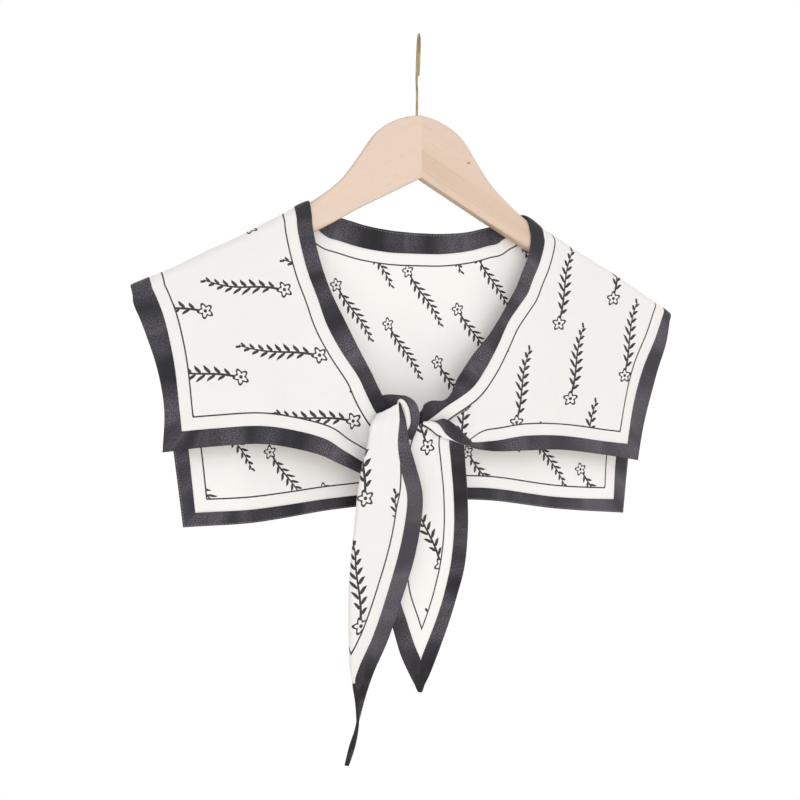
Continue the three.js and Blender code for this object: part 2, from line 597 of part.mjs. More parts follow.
function geometryOf(solid) {
  const mesh = solid.getMesh();
  const geometry = new THREE.BufferGeometry();
  geometry.setAttribute('position', new THREE.Float32BufferAttribute(mesh.vertProperties, 3));
  geometry.setIndex(Array.from(mesh.triVerts));
  return geometry;
}

// The board of the hanger, both arms in one outline, with its long edges rounded over.
function hangerBoard() {
  const top = new THREE.CatmullRomCurve3(HANGER_TOP.map(({ x, z }) => new THREE.Vector3(x, z, 0)));
  const upper = top.getPoints(HANGER.topSteps);
  const end = HANGER_TOP[HANGER_TOP.length - 1];
  const radius = HANGER.armDepth * Math.cos(SHOULDER_SLOPE) / 2;
  const normal = new THREE.Vector2(-Math.sin(SHOULDER_SLOPE), -Math.cos(SHOULDER_SLOPE));
  const centre = new THREE.Vector2(end.x, end.z).addScaledVector(normal, radius);
  const half = upper.map((point) => new THREE.Vector2(point.x, point.y));
  for (let k = 1; k <= HANGER.endSteps; k += 1) {
    const angle = Math.PI / 2 - SHOULDER_SLOPE - Math.PI * k / HANGER.endSteps;
    half.push(new THREE.Vector2(centre.x + radius * Math.cos(angle), centre.y + radius * Math.sin(angle)));
  }
  half.push(new THREE.Vector2(0, HANGER.apexZ));
  const mirrored = half.slice(1, -1).reverse().map((point) => new THREE.Vector2(-point.x, point.y));
  const board = new THREE.ExtrudeGeometry(new THREE.Shape([...half, ...mirrored]), {
    depth: HANGER.thickness - 2 * HANGER.round,
    bevelEnabled: true,
    bevelThickness: HANGER.round,
    bevelSize: HANGER.round,
    bevelOffset: -HANGER.round,
    bevelSegments: HANGER.roundSteps,
    steps: 1,
  });
  board.translate(0, 0, -(HANGER.thickness - 2 * HANGER.round) / 2);
  board.rotateX(Math.PI / 2);
  return solidOf(board);
}

function hookHole() {
  const above = 10;
  const length = HANGER_TOP[0].z - HOOK.footZ + above;
  const sides = 16;
  const drill = new THREE.CylinderGeometry(HOOK.hole, HOOK.hole, length, sides);
  drill.rotateX(Math.PI / 2);
  drill.translate(0, 0, HOOK.footZ - HOOK.hole + length / 2);
  return solidOf(drill);
}

function halfSpace(side) {
  const size = 300;
  const box = new THREE.BoxGeometry(size, size, size);
  box.translate(side * (size / 2 + HANGER.joint / 2), 0, -size / 2);
  return solidOf(box);
}

const board = hangerBoard().subtract(hookHole());
addPiece('hanger_arm_left', geometryOf(board.intersect(halfSpace(-1))), beech);
addPiece('hanger_arm_right', geometryOf(board.intersect(halfSpace(1))), beech);

// The hook's wire runs up the shank and round the bend, whose inside top is the origin.
function hookWire() {
  const centreZ = -(HOOK.bend - HOOK.wire);
  const turn = THREE.MathUtils.degToRad(HOOK.turn);
  const place = (sideways, z) => new THREE.Vector3(sideways * Math.cos(turn), sideways * Math.sin(turn), z);
  const heights = [HOOK.footZ, (HOOK.footZ + HOOK.shankTopZ) / 2, HOOK.shankTopZ];
  const points = heights.map((z) => place(0, z));
  for (let k = 0; k <= HOOK_BEND_POINTS; k += 1) {
    const degrees = THREE.MathUtils.lerp(HOOK.bendStart, HOOK.bendEnd, k / HOOK_BEND_POINTS);
    const angle = THREE.MathUtils.degToRad(degrees);
    points.push(place(HOOK.bend * Math.cos(angle), centreZ + HOOK.bend * Math.sin(angle)));
  }
  const path = new THREE.CatmullRomCurve3(points);
  const section = new THREE.Shape();
  section.absarc(0, 0, HOOK.wire, 0, 2 * Math.PI, false);
  return new THREE.ExtrudeGeometry(section, {
    steps: HOOK.steps,
    curveSegments: HOOK.sides / 2,
    bevelEnabled: false,
    extrudePath: path,
  });
}

addPiece('hanger_hook', geometryOf(solidOf(hookWire())), wireBrass);

export default collar;
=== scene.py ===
import math
from functools import partialmethod

import bmesh
import bpy
import numpy as np
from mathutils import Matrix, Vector


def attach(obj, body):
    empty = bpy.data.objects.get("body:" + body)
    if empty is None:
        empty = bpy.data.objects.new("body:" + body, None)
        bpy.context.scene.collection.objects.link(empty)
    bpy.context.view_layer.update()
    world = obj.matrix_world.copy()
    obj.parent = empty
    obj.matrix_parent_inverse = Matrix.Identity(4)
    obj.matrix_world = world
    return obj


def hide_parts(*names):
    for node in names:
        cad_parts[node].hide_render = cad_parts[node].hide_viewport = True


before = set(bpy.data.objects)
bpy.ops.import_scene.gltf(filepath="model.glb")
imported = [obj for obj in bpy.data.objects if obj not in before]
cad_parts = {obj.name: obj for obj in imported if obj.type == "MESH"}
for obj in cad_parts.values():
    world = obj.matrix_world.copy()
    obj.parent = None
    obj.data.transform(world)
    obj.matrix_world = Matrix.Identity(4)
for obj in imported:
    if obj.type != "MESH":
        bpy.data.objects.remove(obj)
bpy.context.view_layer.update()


# The studio. The camera stands a little to the left of the collar and level with it, big soft lights
# stand all round, the brightest of them above and to the left, and a plain white floor lies far below.

CAMERA_PLACE = (-0.36207, -0.85788, -0.31475)
CAMERA_TURN = math.radians(22)
CAMERA_TILT = math.radians(2)
COLLAR_MIDDLE = Vector((0, 0, -0.28))
FLOOR_LEVEL = -0.9
SEEN_WHITE = (1, 1, 1, 1)
FILL_COLOUR = (0.69, 0.65, 0.605, 1)
COOL = (0.80, 0.91, 1.0)
WHITE = (1, 1, 1)
WARM = (1.0, 0.95, 0.87)

camera = bpy.data.objects.new("camera", bpy.data.cameras.new("camera"))
camera.data.sensor_width = 36
camera.data.lens = 54.54
camera.data.clip_start = 0.05
camera.location = CAMERA_PLACE
looking = Vector((
    math.sin(CAMERA_TURN) * math.cos(CAMERA_TILT),
    math.cos(CAMERA_TURN) * math.cos(CAMERA_TILT),
    math.sin(CAMERA_TILT),
))
camera.rotation_euler = looking.to_track_quat("-Z", "Y").to_euler()
bpy.context.collection.objects.link(camera)
bpy.context.scene.camera = camera
bpy.context.scene.view_settings.view_transform = "Standard"

surroundings = bpy.data.worlds.new("pale_surroundings")
surroundings.use_nodes = True
sky = surroundings.node_tree
seen_sky = sky.nodes["Background"]
seen_sky.inputs["Color"].default_value = SEEN_WHITE
fill_sky = sky.nodes.new("ShaderNodeBackground")
fill_sky.inputs["Color"].default_value = FILL_COLOUR
either_sky = sky.nodes.new("ShaderNodeMixShader")
ray = sky.nodes.new("ShaderNodeLightPath")
sky.links.new(ray.outputs["Is Camera Ray"], either_sky.inputs[0])
sky.links.new(fill_sky.outputs[0], either_sky.inputs[1])
sky.links.new(seen_sky.outputs[0], either_sky.inputs[2])
sky.links.new(either_sky.outputs[0], sky.nodes["World Output"].inputs["Surface"])
bpy.context.scene.world = surroundings

# name, place, width, brightness where 1 is white, colour
for name, place, width, brightness, colour in (
    ("key_light", (-1.1, -1.7, 0.75), 1.5, 1.23, COOL),
    ("front_light", (-0.1, -2.3, 0.2), 2.2, 0.72, COOL),
    ("left_light", (-2.1, 0.1, 0.0), 1.8, 0.2, WHITE),
    ("right_light", (2.1, -0.6, 0.1), 1.8, 0.8, WHITE),
    ("back_light", (0.3, 2.2, 0.5), 2.2, 1.2, WHITE),
    ("low_light", (-0.2, -1.6, -1.7), 2.0, 0.74, WARM),
):
    lamp = bpy.data.lights.new(name, "AREA")
    lamp.shape = "SQUARE"
    lamp.size = width
    lamp.energy = brightness * math.pi * width * width
    lamp.color = colour
    holder = bpy.data.objects.new(name, lamp)
    holder.location = place
    holder.rotation_euler = (COLLAR_MIDDLE - Vector(place)).to_track_quat("-Z", "Y").to_euler()
    holder.visible_camera = False
    bpy.context.collection.objects.link(holder)

bpy.ops.mesh.primitive_plane_add(size=12, location=(0, 0, FLOOR_LEVEL))
floor = bpy.context.object
floor.name = "floor"
floor_paint = bpy.data.materials.new("floor_paint")
floor_paint.use_nodes = True
paint = floor_paint.node_tree
paint.nodes.remove(paint.nodes["Principled BSDF"])
glow = paint.nodes.new("ShaderNodeEmission")
paint.links.new(glow.outputs[0], paint.nodes["Material Output"].inputs["Surface"])
floor.data.materials.append(floor_paint)
floor.visible_diffuse = False
floor.visible_glossy = False
floor.visible_shadow = False


# The hanger's two arms, sawn from pale beech board 12 mm thick with the grain along each arm, glued in a
# butt joint at the middle, and sanded so that only their long edges are rounded. In front these edges are
# crisp where the wood is bare, and rounder where the cloth goes over them.

BOARD = 12
ARM_SLOPE = math.radians(28)
ARM_END_RADIUS = 25 * math.cos(ARM_SLOPE) / 2
ARM_TOP = [
    (0, -62.6), (14, -65.6), (29, -73), (38, -81.4), (47.5, -95.2),
    (56, -107), (66, -118.4), (89, -135.4), (150, -167.6), (205, -196.9),
]
ARM_APEX = -111.5
CRISP_EDGE, ROUND_EDGE = 1.6, 5.5
ROUND_FROM, ROUND_TO = 68, 90
ROUNDING_STEPS = (90, 75, 60, 45, 30, 15, 0)
FACE_MARGIN = 0.0006
# how much higher than true the hanger hangs at places along its length
LEAN_AT = (-240, -218, -190, -165, -142, -122, -75, -50, 0, 52, 70, 110, 150, 176, 205, 222, 236)
LEAN = (-0.6, -0.6, -2.3, -2, -2.6, -1.5, -0.9, 0.3, 0, 0, 0.6, 1.3, 2, 3.2, 2.5, 2.5, 1.2)


def unit(vectors):
    return vectors / np.linalg.norm(vectors, axis=-1, keepdims=True)


def smooth_curve(points, counts, even=False):
    """A curve through the points, with so many steps in each span."""
    points = np.asarray(points, float)
    knots = np.vstack([2 * points[0] - points[1], points, 2 * points[-1] - points[-2]])
    made = [points[0]]
    for span, count in enumerate(counts):
        a, b, c, d = knots[span:span + 4]
        t = np.linspace(0, 1, count + 1)[1:, None]
        if even:
            leave, arrive = (c - a) / 2, (d - b) / 2
        else:
            before, here, after = (
                max(np.linalg.norm(q - p), 1e-9) ** 0.5 for p, q in ((a, b), (b, c), (c, d))
            )
            leave = ((b - a) / before - (c - a) / (before + here) + (c - b) / here) * here
            arrive = ((c - b) / here - (d - b) / (here + after) + (d - c) / after) * here
        square = (3 * (c - b) - 2 * leave - arrive) * t ** 2
        cube = (2 * (b - c) + leave + arrive) * t ** 3
        made.extend(b + leave * t + square + cube)
    return np.array(made)


def smooth_step(value, start, end):
    t = np.clip((value - start) / (end - start), 0, 1)
    return t * t * (3 - 2 * t)


def new_piece(name, mesh, material=None):
    for face in mesh.polygons:
        face.use_smooth = True
    if material is not None:
        mesh.materials.append(material)
    piece = bpy.data.objects.new(name, mesh)
    bpy.context.collection.objects.link(piece)
    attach(piece, "root")
    return piece


class Reading:
    """What a node gives out. Arithmetic on it adds the nodes that work it out."""

    def __init__(self, tree, socket):
        self.tree = tree
        self.socket = socket

    def worked(self, operation, *others):
        node = self.tree.nodes.new("ShaderNodeMath")
        node.operation = operation
        for value, socket in zip((self, *others), node.inputs):
            feed(self.tree, value, socket)
        return Reading(self.tree, node.outputs[0])

    __add__ = partialmethod(worked, "ADD")
    __sub__ = partialmethod(worked, "SUBTRACT")
    __rsub__ = partialmethod(worked, "MULTIPLY_ADD", -1)
    __mul__ = partialmethod(worked, "MULTIPLY")
    __truediv__ = partialmethod(worked, "DIVIDE")
    __pow__ = partialmethod(worked, "POWER")
    __lt__ = partialmethod(worked, "LESS_THAN")
    __gt__ = partialmethod(worked, "GREATER_THAN")
    __abs__ = partialmethod(worked, "ABSOLUTE")
    __round__ = partialmethod(worked, "ROUND")
    __floor__ = partialmethod(worked, "FLOOR")


def feed(tree, value, socket):
    """Joins a reading to a socket, or sets a plain value on it."""
    if isinstance(value, Reading):
        tree.links.new(value.socket, socket)
    elif socket.type == "RGBA":
        socket.default_value = (*value, 1)
    else:
        socket.default_value = value


class Finish:
    """One material, and the readings that its pattern is worked out from."""

    def __init__(self, name):
        self.material = bpy.data.materials.new(name)
        self.material.use_nodes = True
        self.tree = self.material.node_tree
        self.shader = self.tree.nodes["Principled BSDF"]

    def shade(self, inputs):
        for name, value in inputs.items():
            feed(self.tree, value, self.shader.inputs[name])
        return self.material

    def read(self, kind, output, inputs=None, **settings):
        """What one output of a new node gives, with the node's settings and inputs set."""
        node = self.tree.nodes.new(kind)
        for key, value in settings.items():
            setattr(node, key, value)
        for name, value in (inputs or {}).items():
            feed(self.tree, value, node.inputs[name])
        return Reading(self.tree, node.outputs[output])

    def place(self):
        return self.read("ShaderNodeTexCoord", "Object")

    def chart(self, name):
        return self.read("ShaderNodeUVMap", "UV", uv_map=name)

    def parts(self, vector):
        node = self.tree.nodes.new("ShaderNodeSeparateXYZ")
        feed(self.tree, vector, node.inputs[0])
        return [Reading(self.tree, socket) for socket in node.outputs]

    def placed(self, vector, turn=(0, 0, 0), scale=(1, 1, 1), move=(0, 0, 0)):
        shift = [m * s for m, s in zip(move, scale)]
        inputs = {"Vector": vector, "Location": shift, "Rotation": turn, "Scale": scale}
        return self.read("ShaderNodeMapping", "Vector", inputs)

    def noise(self, vector, scale, detail, roughness=0.5):
        inputs = {"Vector": vector, "Scale": scale, "Detail": detail, "Roughness": roughness}
        return self.read("ShaderNodeTexNoise", "Fac", inputs)

    def between(self, value, low, high):
        inputs = {"Value": value, "From Min": low, "From Max": high}
        return self.read("ShaderNodeMapRange", "Result", inputs, interpolation_type="SMOOTHSTEP")

    def mix(self, share, first, second):
        inputs = {"Factor": share, "A": first, "B": second}
        return self.read("ShaderNodeMix", "Result", inputs, data_type="RGBA")

    def bump(self, height, strength, distance, after=None):
        inputs = {"Height": height, "Strength": strength, "Distance": distance}
        if after is not None:
            inputs["Normal"] = after
        return self.read("ShaderNodeBump", "Normal", inputs)


def beech(name, lean, pale, deep, band_share, dark_streak):
    """Beech with its grain along an arm that leans by the given angle, and painted browner on its edge faces,
    a painted shade for its underside and edges.
    """
    wood = Finish(name)
    place = wood.place()
    along = wood.placed(place, turn=(0, lean, 0))
    bands = wood.between(wood.noise(wood.placed(along, scale=(2.2, 30, 34)), 2.1, 2), 0.42, 0.62)
    grain = wood.noise(wood.placed(along, scale=(9, 160, 260)), 3, 4, 0.6)
    pores = wood.between(wood.noise(wood.placed(along, scale=(130, 900, 1500)), 1, 1), 0.66, 0.74)
    cloudy = wood.noise(place, 14, 2)
    colour = wood.mix(bands * band_share + grain * 0.6 + (cloudy - 0.5) * 0.25, pale, deep)
    colour = wood.mix(pores * 0.22, colour, (0.42, 0.25, 0.15))
    if dark_streak:
        run, _, height = wood.parts(along)
        level = grain * 0.004 + height
        streak = wood.between(level, -0.0925, -0.0865) * wood.between(level, -0.0765, -0.0775)
        fading = 1 - wood.between(run, 0.055, 0.1) * 0.5
        colour = wood.mix(streak * fading * 0.36, colour, (0.58, 0.40, 0.27))
        stripes = wood.between(wood.noise(wood.placed(along, scale=(3, 30, 620)), 1, 1), 0.56, 0.66)
        low = wood.between(level, -0.078, -0.088)
        colour = wood.mix(stripes * low * 0.3, colour, (0.62, 0.43, 0.30))
        from_fleck = wood.placed(place, move=(-0.040, 0, 0.0965), scale=(0.8, 0, 1.8))
        away = wood.read("ShaderNodeVectorMath", "Value", {"Vector": from_fleck}, operation="LENGTH")
        colour = wood.mix(wood.between(away, 0.0018, 0.0009) * 0.8, colour, (0.33, 0.16, 0.08))
    # painted shade: the faces that look neither forwards nor back, which are the edges and the underside, are
    # painted browner
    facing = wood.parts(wood.read("ShaderNodeTexCoord", "Normal"))[1]
    colour = wood.mix(wood.between(abs(facing), 0.8, 0.2) * 0.5, colour, (0.44, 0.30, 0.21))
    return wood.shade({
        "Base Color": colour,
        "Roughness": grain * 0.12 + 0.42,
        "Coat Weight": 0.06,
        "Coat Roughness": 0.4,
        "Normal": wood.bump(pores, 0.15, 0.0001, wood.bump(grain, 0.12, 0.0002)),
    })


half_top = smooth_curve(ARM_TOP, [10] * (len(ARM_TOP) - 1))
arm_end = np.array(ARM_TOP[-1]) - ARM_END_RADIUS * np.array([math.sin(ARM_SLOPE), math.cos(ARM_SLOPE)])
end_angles = math.pi / 2 - ARM_SLOPE - np.linspace(0, math.pi, 25)[1:]
half_end = arm_end + ARM_END_RADIUS * np.column_stack([np.cos(end_angles), np.sin(end_angles)])
lower_shares = np.linspace(0, 1, 31)[1:, None]
half_lower = half_end[-1] + (np.array([0, ARM_APEX]) - half_end[-1]) * lower_shares
half_board = np.vstack([half_top, half_end, half_lower])
outline = np.vstack([half_board, (half_board[1:-1] * [-1, 1])[::-1]])

before = unit(outline - np.roll(outline, 1, axis=0))
after = unit(np.roll(outline, -1, axis=0) - outline)
tangent = unit(before + after)
inwards = np.column_stack([tangent[:, 1], -tangent[:, 0]]) / np.sum(tangent * after, axis=1)[:, None]
carries_cloth = smooth_step(np.abs(outline[:, 0]), ROUND_FROM, ROUND_TO)
rounding = {
    -1: CRISP_EDGE + (ROUND_EDGE - CRISP_EDGE) * carries_cloth,
    1: np.full(len(outline), ROUND_EDGE),
}

board = bmesh.new()
rings = {-1: [], 1: []}
for side in rings:
    for angle in np.radians(ROUNDING_STEPS):
        flat = outline + inwards * (rounding[side] * (1 - math.cos(angle)))[:, None]
        depth = side * (BOARD / 2 - rounding[side] * (1 - math.sin(angle)))
        height = flat[:, 1] + np.interp(flat[:, 0], LEAN_AT, LEAN)
        points = np.column_stack([flat[:, 0], depth, height]) / 1000
        rings[side].append([board.verts.new(point) for point in points])
loops = rings[-1] + rings[1][::-1]
for ring, following in zip(loops, loops[1:]):
    for k in range(len(outline)):
        near = (k + 1) % len(outline)
        board.faces.new((ring[k], ring[near], following[near], following[k]))
for ring in (loops[0], loops[-1]):
    inner = [board.verts.new(v.co + Vector((n[0], 0, n[1])) * FACE_MARGIN) for v, n in zip(ring, inwards)]
    for k in range(len(outline)):
        near = (k + 1) % len(outline)
        board.faces.new((ring[k], inner[k], inner[near], ring[near]))
    board.faces.new(inner)
bmesh.ops.recalc_face_normals(board, faces=board.faces)

for side, name, pale, deep, band_share in (
    (-1, "left", (0.79, 0.637, 0.53), (0.73, 0.555, 0.438), 0.15),
    (1, "right", (0.76, 0.605, 0.495), (0.70, 0.525, 0.41), 0.2),
):
    half = board.copy()
    cut = bmesh.ops.bisect_plane(
        half,
        geom=half.verts[:] + half.edges[:] + half.faces[:],
        plane_co=(0, 0, 0),
        plane_no=(-side, 0, 0),
        clear_outer=True,
    )
    bmesh.ops.holes_fill(half, edges=[e for e in cut["geom_cut"] if isinstance(e, bmesh.types.BMEdge)])
    bmesh.ops.triangulate(half, faces=[f for f in half.faces if len(f.verts) > 4])
    bmesh.ops.recalc_face_normals(half, faces=half.faces)
    mesh = bpy.data.meshes.new(f"beech_arm_{name}")
    half.to_mesh(mesh)
    half.free()
    wood = beech(f"beech_{name}", -side * ARM_SLOPE, pale, deep, band_share, side > 0)
    arm = new_piece(f"beech_arm_{name}", mesh, wood)
    mesh.set_sharp_from_angle(angle=math.radians(40))
    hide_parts(f"hanger_arm_{name}")
board.free()


# The hook, brass-plated steel wire of 1.9 mm. It leans to the left, so that its shank stands in the wood
# just beside the joint of the arms. It is bent to a question mark of 20 mm radius, nearly square to the
# hanger, with its end cut and rounded off.

HOOK_RADIUS = 20
HOOK_WIRE = 0.95
HOOK_SIDES = 18
HOOK_TURN = math.radians(70)
BEND_START, BEND_END = math.radians(-42), math.radians(229)
SHANK_HEIGHTS = (-78, -61.5, -45)
SHANK_LEAN = 1.4

bend = np.linspace(BEND_START, BEND_END, 15)
sideways = np.concatenate([np.zeros(len(SHANK_HEIGHTS)), HOOK_RADIUS * np.cos(bend)])
height = np.concatenate([SHANK_HEIGHTS, HOOK_WIRE - HOOK_RADIUS + HOOK_RADIUS * np.sin(bend)])
wire = np.column_stack([sideways * math.cos(HOOK_TURN), sideways * math.sin(HOOK_TURN), height])
wire[:, 0] -= SHANK_LEAN * smooth_step(-height, 0, 60)
wire = smooth_curve(wire, [6, 6] + [7] * (len(wire) - 3))

run = unit(np.gradient(wire, axis=0))
centres, radii, directions = list(wire), [HOOK_WIRE] * len(wire), list(run)
for angle in np.radians([20, 40, 60, 78]):
    centres.append(wire[-1] + run[-1] * HOOK_WIRE * math.sin(angle) * 0.7)
    radii.append(HOOK_WIRE * math.cos(angle))
    directions.append(run[-1])
across = np.array([-math.sin(HOOK_TURN), math.cos(HOOK_TURN), 0])
turns = np.linspace(0, 2 * math.pi, HOOK_SIDES, endpoint=False)[:, None]
rod = [
    centre + radius * (np.cos(turns) * across + np.sin(turns) * np.cross(direction, across))
    for centre, radius, direction in zip(centres, radii, directions)
]
index = np.arange(len(rod) * HOOK_SIDES).reshape(len(rod), HOOK_SIDES)
beside = np.roll(index, -1, axis=1)
rod_faces = np.stack([index[:-1], beside[:-1], beside[1:], index[1:]], axis=-1).reshape(-1, 4).tolist()
rod_faces += [index[0, ::-1].tolist(), index[-1].tolist()]
hook_mesh = bpy.data.meshes.new("wire_hook")
hook_mesh.from_pydata((np.vstack(rod) / 1000).tolist(), [], rod_faces)
check = bmesh.new()
check.from_mesh(hook_mesh)
bmesh.ops.recalc_face_normals(check, faces=check.faces)
check.to_mesh(hook_mesh)
check.free()

plate = Finish("brass_plate")
place = plate.place()
cloudy = plate.noise(plate.placed(place, scale=(1, 1, 0.35)), 160, 3)
drawn = plate.noise(plate.placed(place, scale=(1, 1, 0.02)), 2600, 2)
brass = plate.shade({
    "Base Color": plate.mix(plate.between(cloudy, 0.4, 0.7), (0.50, 0.42, 0.24), (0.36, 0.27, 0.14)),
    "Metallic": 0.85,
    "Roughness": cloudy * 0.25 + 0.42,
    "Normal": plate.bump(drawn, 0.15, 0.0001),
})
hook = new_piece("wire_hook", hook_mesh, brass)
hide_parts("hanger_hook")


# The collar's ivory ground: two layers of printed satin sewn face to face and turned, cut in one
# horseshoe from the left front over the shoulder, round the back and down to the right front. It hangs
# by its fold on the arms, is drawn forward by the knot, and is pleated where the straps begin.

NECK_X, NECK_Z = 89, -134.5
FOLD_RADIUS = 6.9
FOLD_ARC = FOLD_RADIUS * math.pi / 2
SHOULDER_ROWS = 24
ROWS_A_SECTION = 12
FIELD_COLUMNS = 56
FIELD_HALF = 0.45
TUCKED = 1.2
# in metres, as the satin's finish reads them
LINE_INSET = 0.0093
INK_LINE = 0.00055

# neck x, neck z, outer x, outer z, tuck, neck band, outer band, kind of section
FRONT_LEFT = [
    (27, -297, 31, -325, 0, 11, 8, "gather"),
    (31.7, -289, 44, -342, 0, 11, 8, ""),
    (36.4, -281, 54, -337.2, 0, 11.2, 8.6, ""),
    (40.9, -271.6, 70, -330.4, 0, 11.3, 10.4, ""),
    (45.2, -262, 85, -323.6, 0, 11.4, 12.4, ""),
    (55.6, -242, 124, -316.2, 0, 13.4, 13, ""),
    (65.2, -222, 161, -317.7, 0, 14, 12.8, ""),
    (73.6, -204, 198.4, -321.9, 0, 11.8, 13.2, "corner"),
    (79.8, -187, 197.4, -291, 0, 12, 10.8, ""),
    (84.6, -170, 202.6, -261.5, 0, 12, 12.6, ""),
    (88, -154, 212.8, -231.3, 0, 12, 16.4, ""),
    (88.6, -147, 218.9, -217.2, 0, 12, 17, ""),
]
FRONT_RIGHT = [
    (-5.4, -294, -8.6, -304.5, 4.5, 8, 1, "gather"),
    (-4, -288.8, -7, -304.5, 0.8, 13.2, 1, "gather"),
    (2.4, -283.7, 3, -303.5, 0, 12.6, 1.5, "gather"),
    (15, -282, 14, -305, 0, 6, 1.5, "gather"),
    (29, -263, 32.5, -317, 0, 14.6, 3.4, "twist"),
    (40, -248.5, 56, -321.5, 0, 15.2, 7.8, ""),
    (54, -233, 86, -321.2, 0, 11, 11.6, ""),
    (66.5, -215.5, 121, -320.7, 0, 8, 11.2, ""),
    (74.4, -202.5, 156, -324.5, 0, 9.4, 10.9, ""),
    (81, -191.5, 192.5, -329.4, 0, 11, (11.8, 14.2), "corner"),
    (85.8, -181, 201, -291, 0, 11, 14.2, ""),
    (91, -169, 211, -259, 0, 11.4, 14, ""),
    (94.2, -155, 221, -234, 0, 12, 11.5, ""),
]
BACK_LEFT = [
    (77, -140, 205, -233, 0, 13.3, 12.3, ""),
    (72.5, -141.5, 194.6, -272, 0, 15.2, 11.8, ""),
    (67, -143, 186.8, -322, 0, 17.2, 10.8, ""),
    (59.5, -144.7, 179.6, -375.8, 0, 17.5, 9.9, "corner"),
    (43, -148.8, 125, -373.3, 0, 17.5, 9.7, ""),
    (22, -151.3, 60, -364.6, 0, 17.2, 8.6, ""),
    (0, -152, 0, -360, 0, 16.2, 9.4, ""),
]
BACK_RIGHT = [
    (77, -140, 214, -237, 0, 11.6, 12.3, ""),
    (72.5, -141.5, 204.2, -277, 0, 12.4, 11.8, ""),
    (67, -143, 194.2, -325, 0, 14.4, 12.6, ""),
    (59.5, -144.7, 188.2, -373.2, 0, 14.4, 10.6, "corner"),
    (43, -148.8, 125, -368.5, 0, 15, 9.4, ""),
    (22, -151.3, 60, -360.4, 0, 15.9, 9.6, ""),
    (0, -152, 0, -360, 0, 16.2, 9.4, ""),
]
# along the fold: neck edge in front and behind, outer edge in front and behind, then the two bands
SHOULDER_LEFT = (4, -5, 151.4, 144.8, 12.8, 15)
SHOULDER_RIGHT = (7.5, -6, 157.6, 156.4, 15, 8)


def unfold(x, z, face):
    depth = (NECK_Z - z) * math.cos(ARM_SLOPE) - (x - NECK_X) * math.sin(ARM_SLOPE)
    along = (x - NECK_X) * math.cos(ARM_SLOPE) + (NECK_Z - z) * math.sin(ARM_SLOPE)
    return along, face * (depth - FOLD_RADIUS + FOLD_ARC)


def inset_line(line, opposite, widths, gathered):
    """A line moved inwards by a width at each point, with mitred corners."""
    made = []
    for i, point in enumerate(line):
        before = point - line[max(i - 1, 0)]
        after = line[min(i + 1, len(line) - 1)] - point
        if i == 0:
            before = after
        if i == len(line) - 1:
            after = before
        before, after, section = unit(before), unit(after), unit(opposite[i] - point)
        if isinstance(widths[i], tuple):
            sides = np.array([[-run[1], run[0]] for run in (before, after)])
            sides = sides * np.sign(sides @ section)[:, None]
            made.append(point + np.linalg.solve(sides, widths[i]))
        elif gathered[i]:
            made.append(point + section * widths[i])
        else:
            tangent = unit(before + after)
            normal = np.array([-tangent[1], tangent[0]])
            made.append(point + normal * np.sign(normal @ section) * widths[i] / (tangent @ after))
    return np.array(made)


def run_smoothly(line, counts, corners=()):
    """The smooth line through the points, which breaks at its corners."""
    stops = [0, *corners, len(line) - 1]
    made = [line[:1]]
    for start, end in zip(stops, stops[1:]):
        made.append(smooth_curve(line[start:end + 1], counts[start:end])[1:])
    return np.vstack(made)


def half_collar(front, shoulder, back):
    """The flat lines of one half, from the knot round the shoulder to the middle of the back."""
    neck_front, neck_back, far_front, far_back, fold_band, fold_hem = shoulder
    fold = []
    for share in np.arange(SHOULDER_ROWS + 1) / SHOULDER_ROWS:
        across = FOLD_ARC * (1 - 2 * share)
        neck = neck_front + (neck_back - neck_front) * share
        far = far_front + (far_back - far_front) * share
        rows = ROWS_A_SECTION if share == 1 else 1
        fold.append(((neck, across), (far, across), 0, fold_band, fold_hem, "gather", rows))
    fronts, backs = (
        [
            (unfold(x, z, face), unfold(far_x, far_z, face), tuck, band, hem, kind, ROWS_A_SECTION)
            for x, z, far_x, far_z, tuck, band, hem, kind in sections
        ]
        for sections, face in ((front, 1), (back, -1))
    )
    near, far, tuck, band, hem, kinds, counts = zip(*fronts, *fold, *backs)
    near, far = np.array(near), np.array(far)
    gathered = [kind == "gather" for kind in kinds]
    corners = [i for i, kind in enumerate(kinds) if kind == "corner"]
    lines = {
        "neck": run_smoothly(near, counts),
        "neck_seam": run_smoothly(inset_line(near, far, band, gathered), counts),
        "hem_seam": run_smoothly(inset_line(far, near, hem, gathered), counts, corners),
        "hem": run_smoothly(far, counts, corners),
        "tuck": run_smoothly(np.array(tuck, float)[:, None], counts),
    }
    return lines, len(front) * ROWS_A_SECTION + SHOULDER_ROWS


left_lines, left_shoulder = half_collar(FRONT_LEFT, SHOULDER_LEFT, BACK_LEFT)
right_lines, right_shoulder = half_collar(FRONT_RIGHT, SHOULDER_RIGHT, BACK_RIGHT)
left_rows = len(left_lines["neck"])
right_rows = len(right_lines["neck"])
all_rows = left_rows + right_rows - 1
twist_row = [section[-1] for section in FRONT_RIGHT].index("twist") * ROWS_A_SECTION
hem_end = all_rows - 1 - twist_row
neck_line, neck_seam, hem_seam, hem_line, tuck_line = (
    np.vstack([left_lines[key], right_lines[key][:-1][::-1]])
    for key in ("neck", "neck_seam", "hem_seam", "hem", "tuck")
)
halves = np.concatenate([np.full(left_rows, -1.0), np.full(right_rows - 1, 1.0)])[:, None]


def distance_to(line, points):
    """How far each point is from a line, both on the flat cloth."""
    nearest = np.full(points.shape[:-1], np.inf)
    for a, b in zip(line, line[1:]):
        run = b - a
        share = np.clip(((points - a) @ run) / max(run @ run, 1e-9), 0, 1)
        nearest = np.minimum(nearest, np.linalg.norm(points - a - share[..., None] * run, axis=-1))
    return nearest


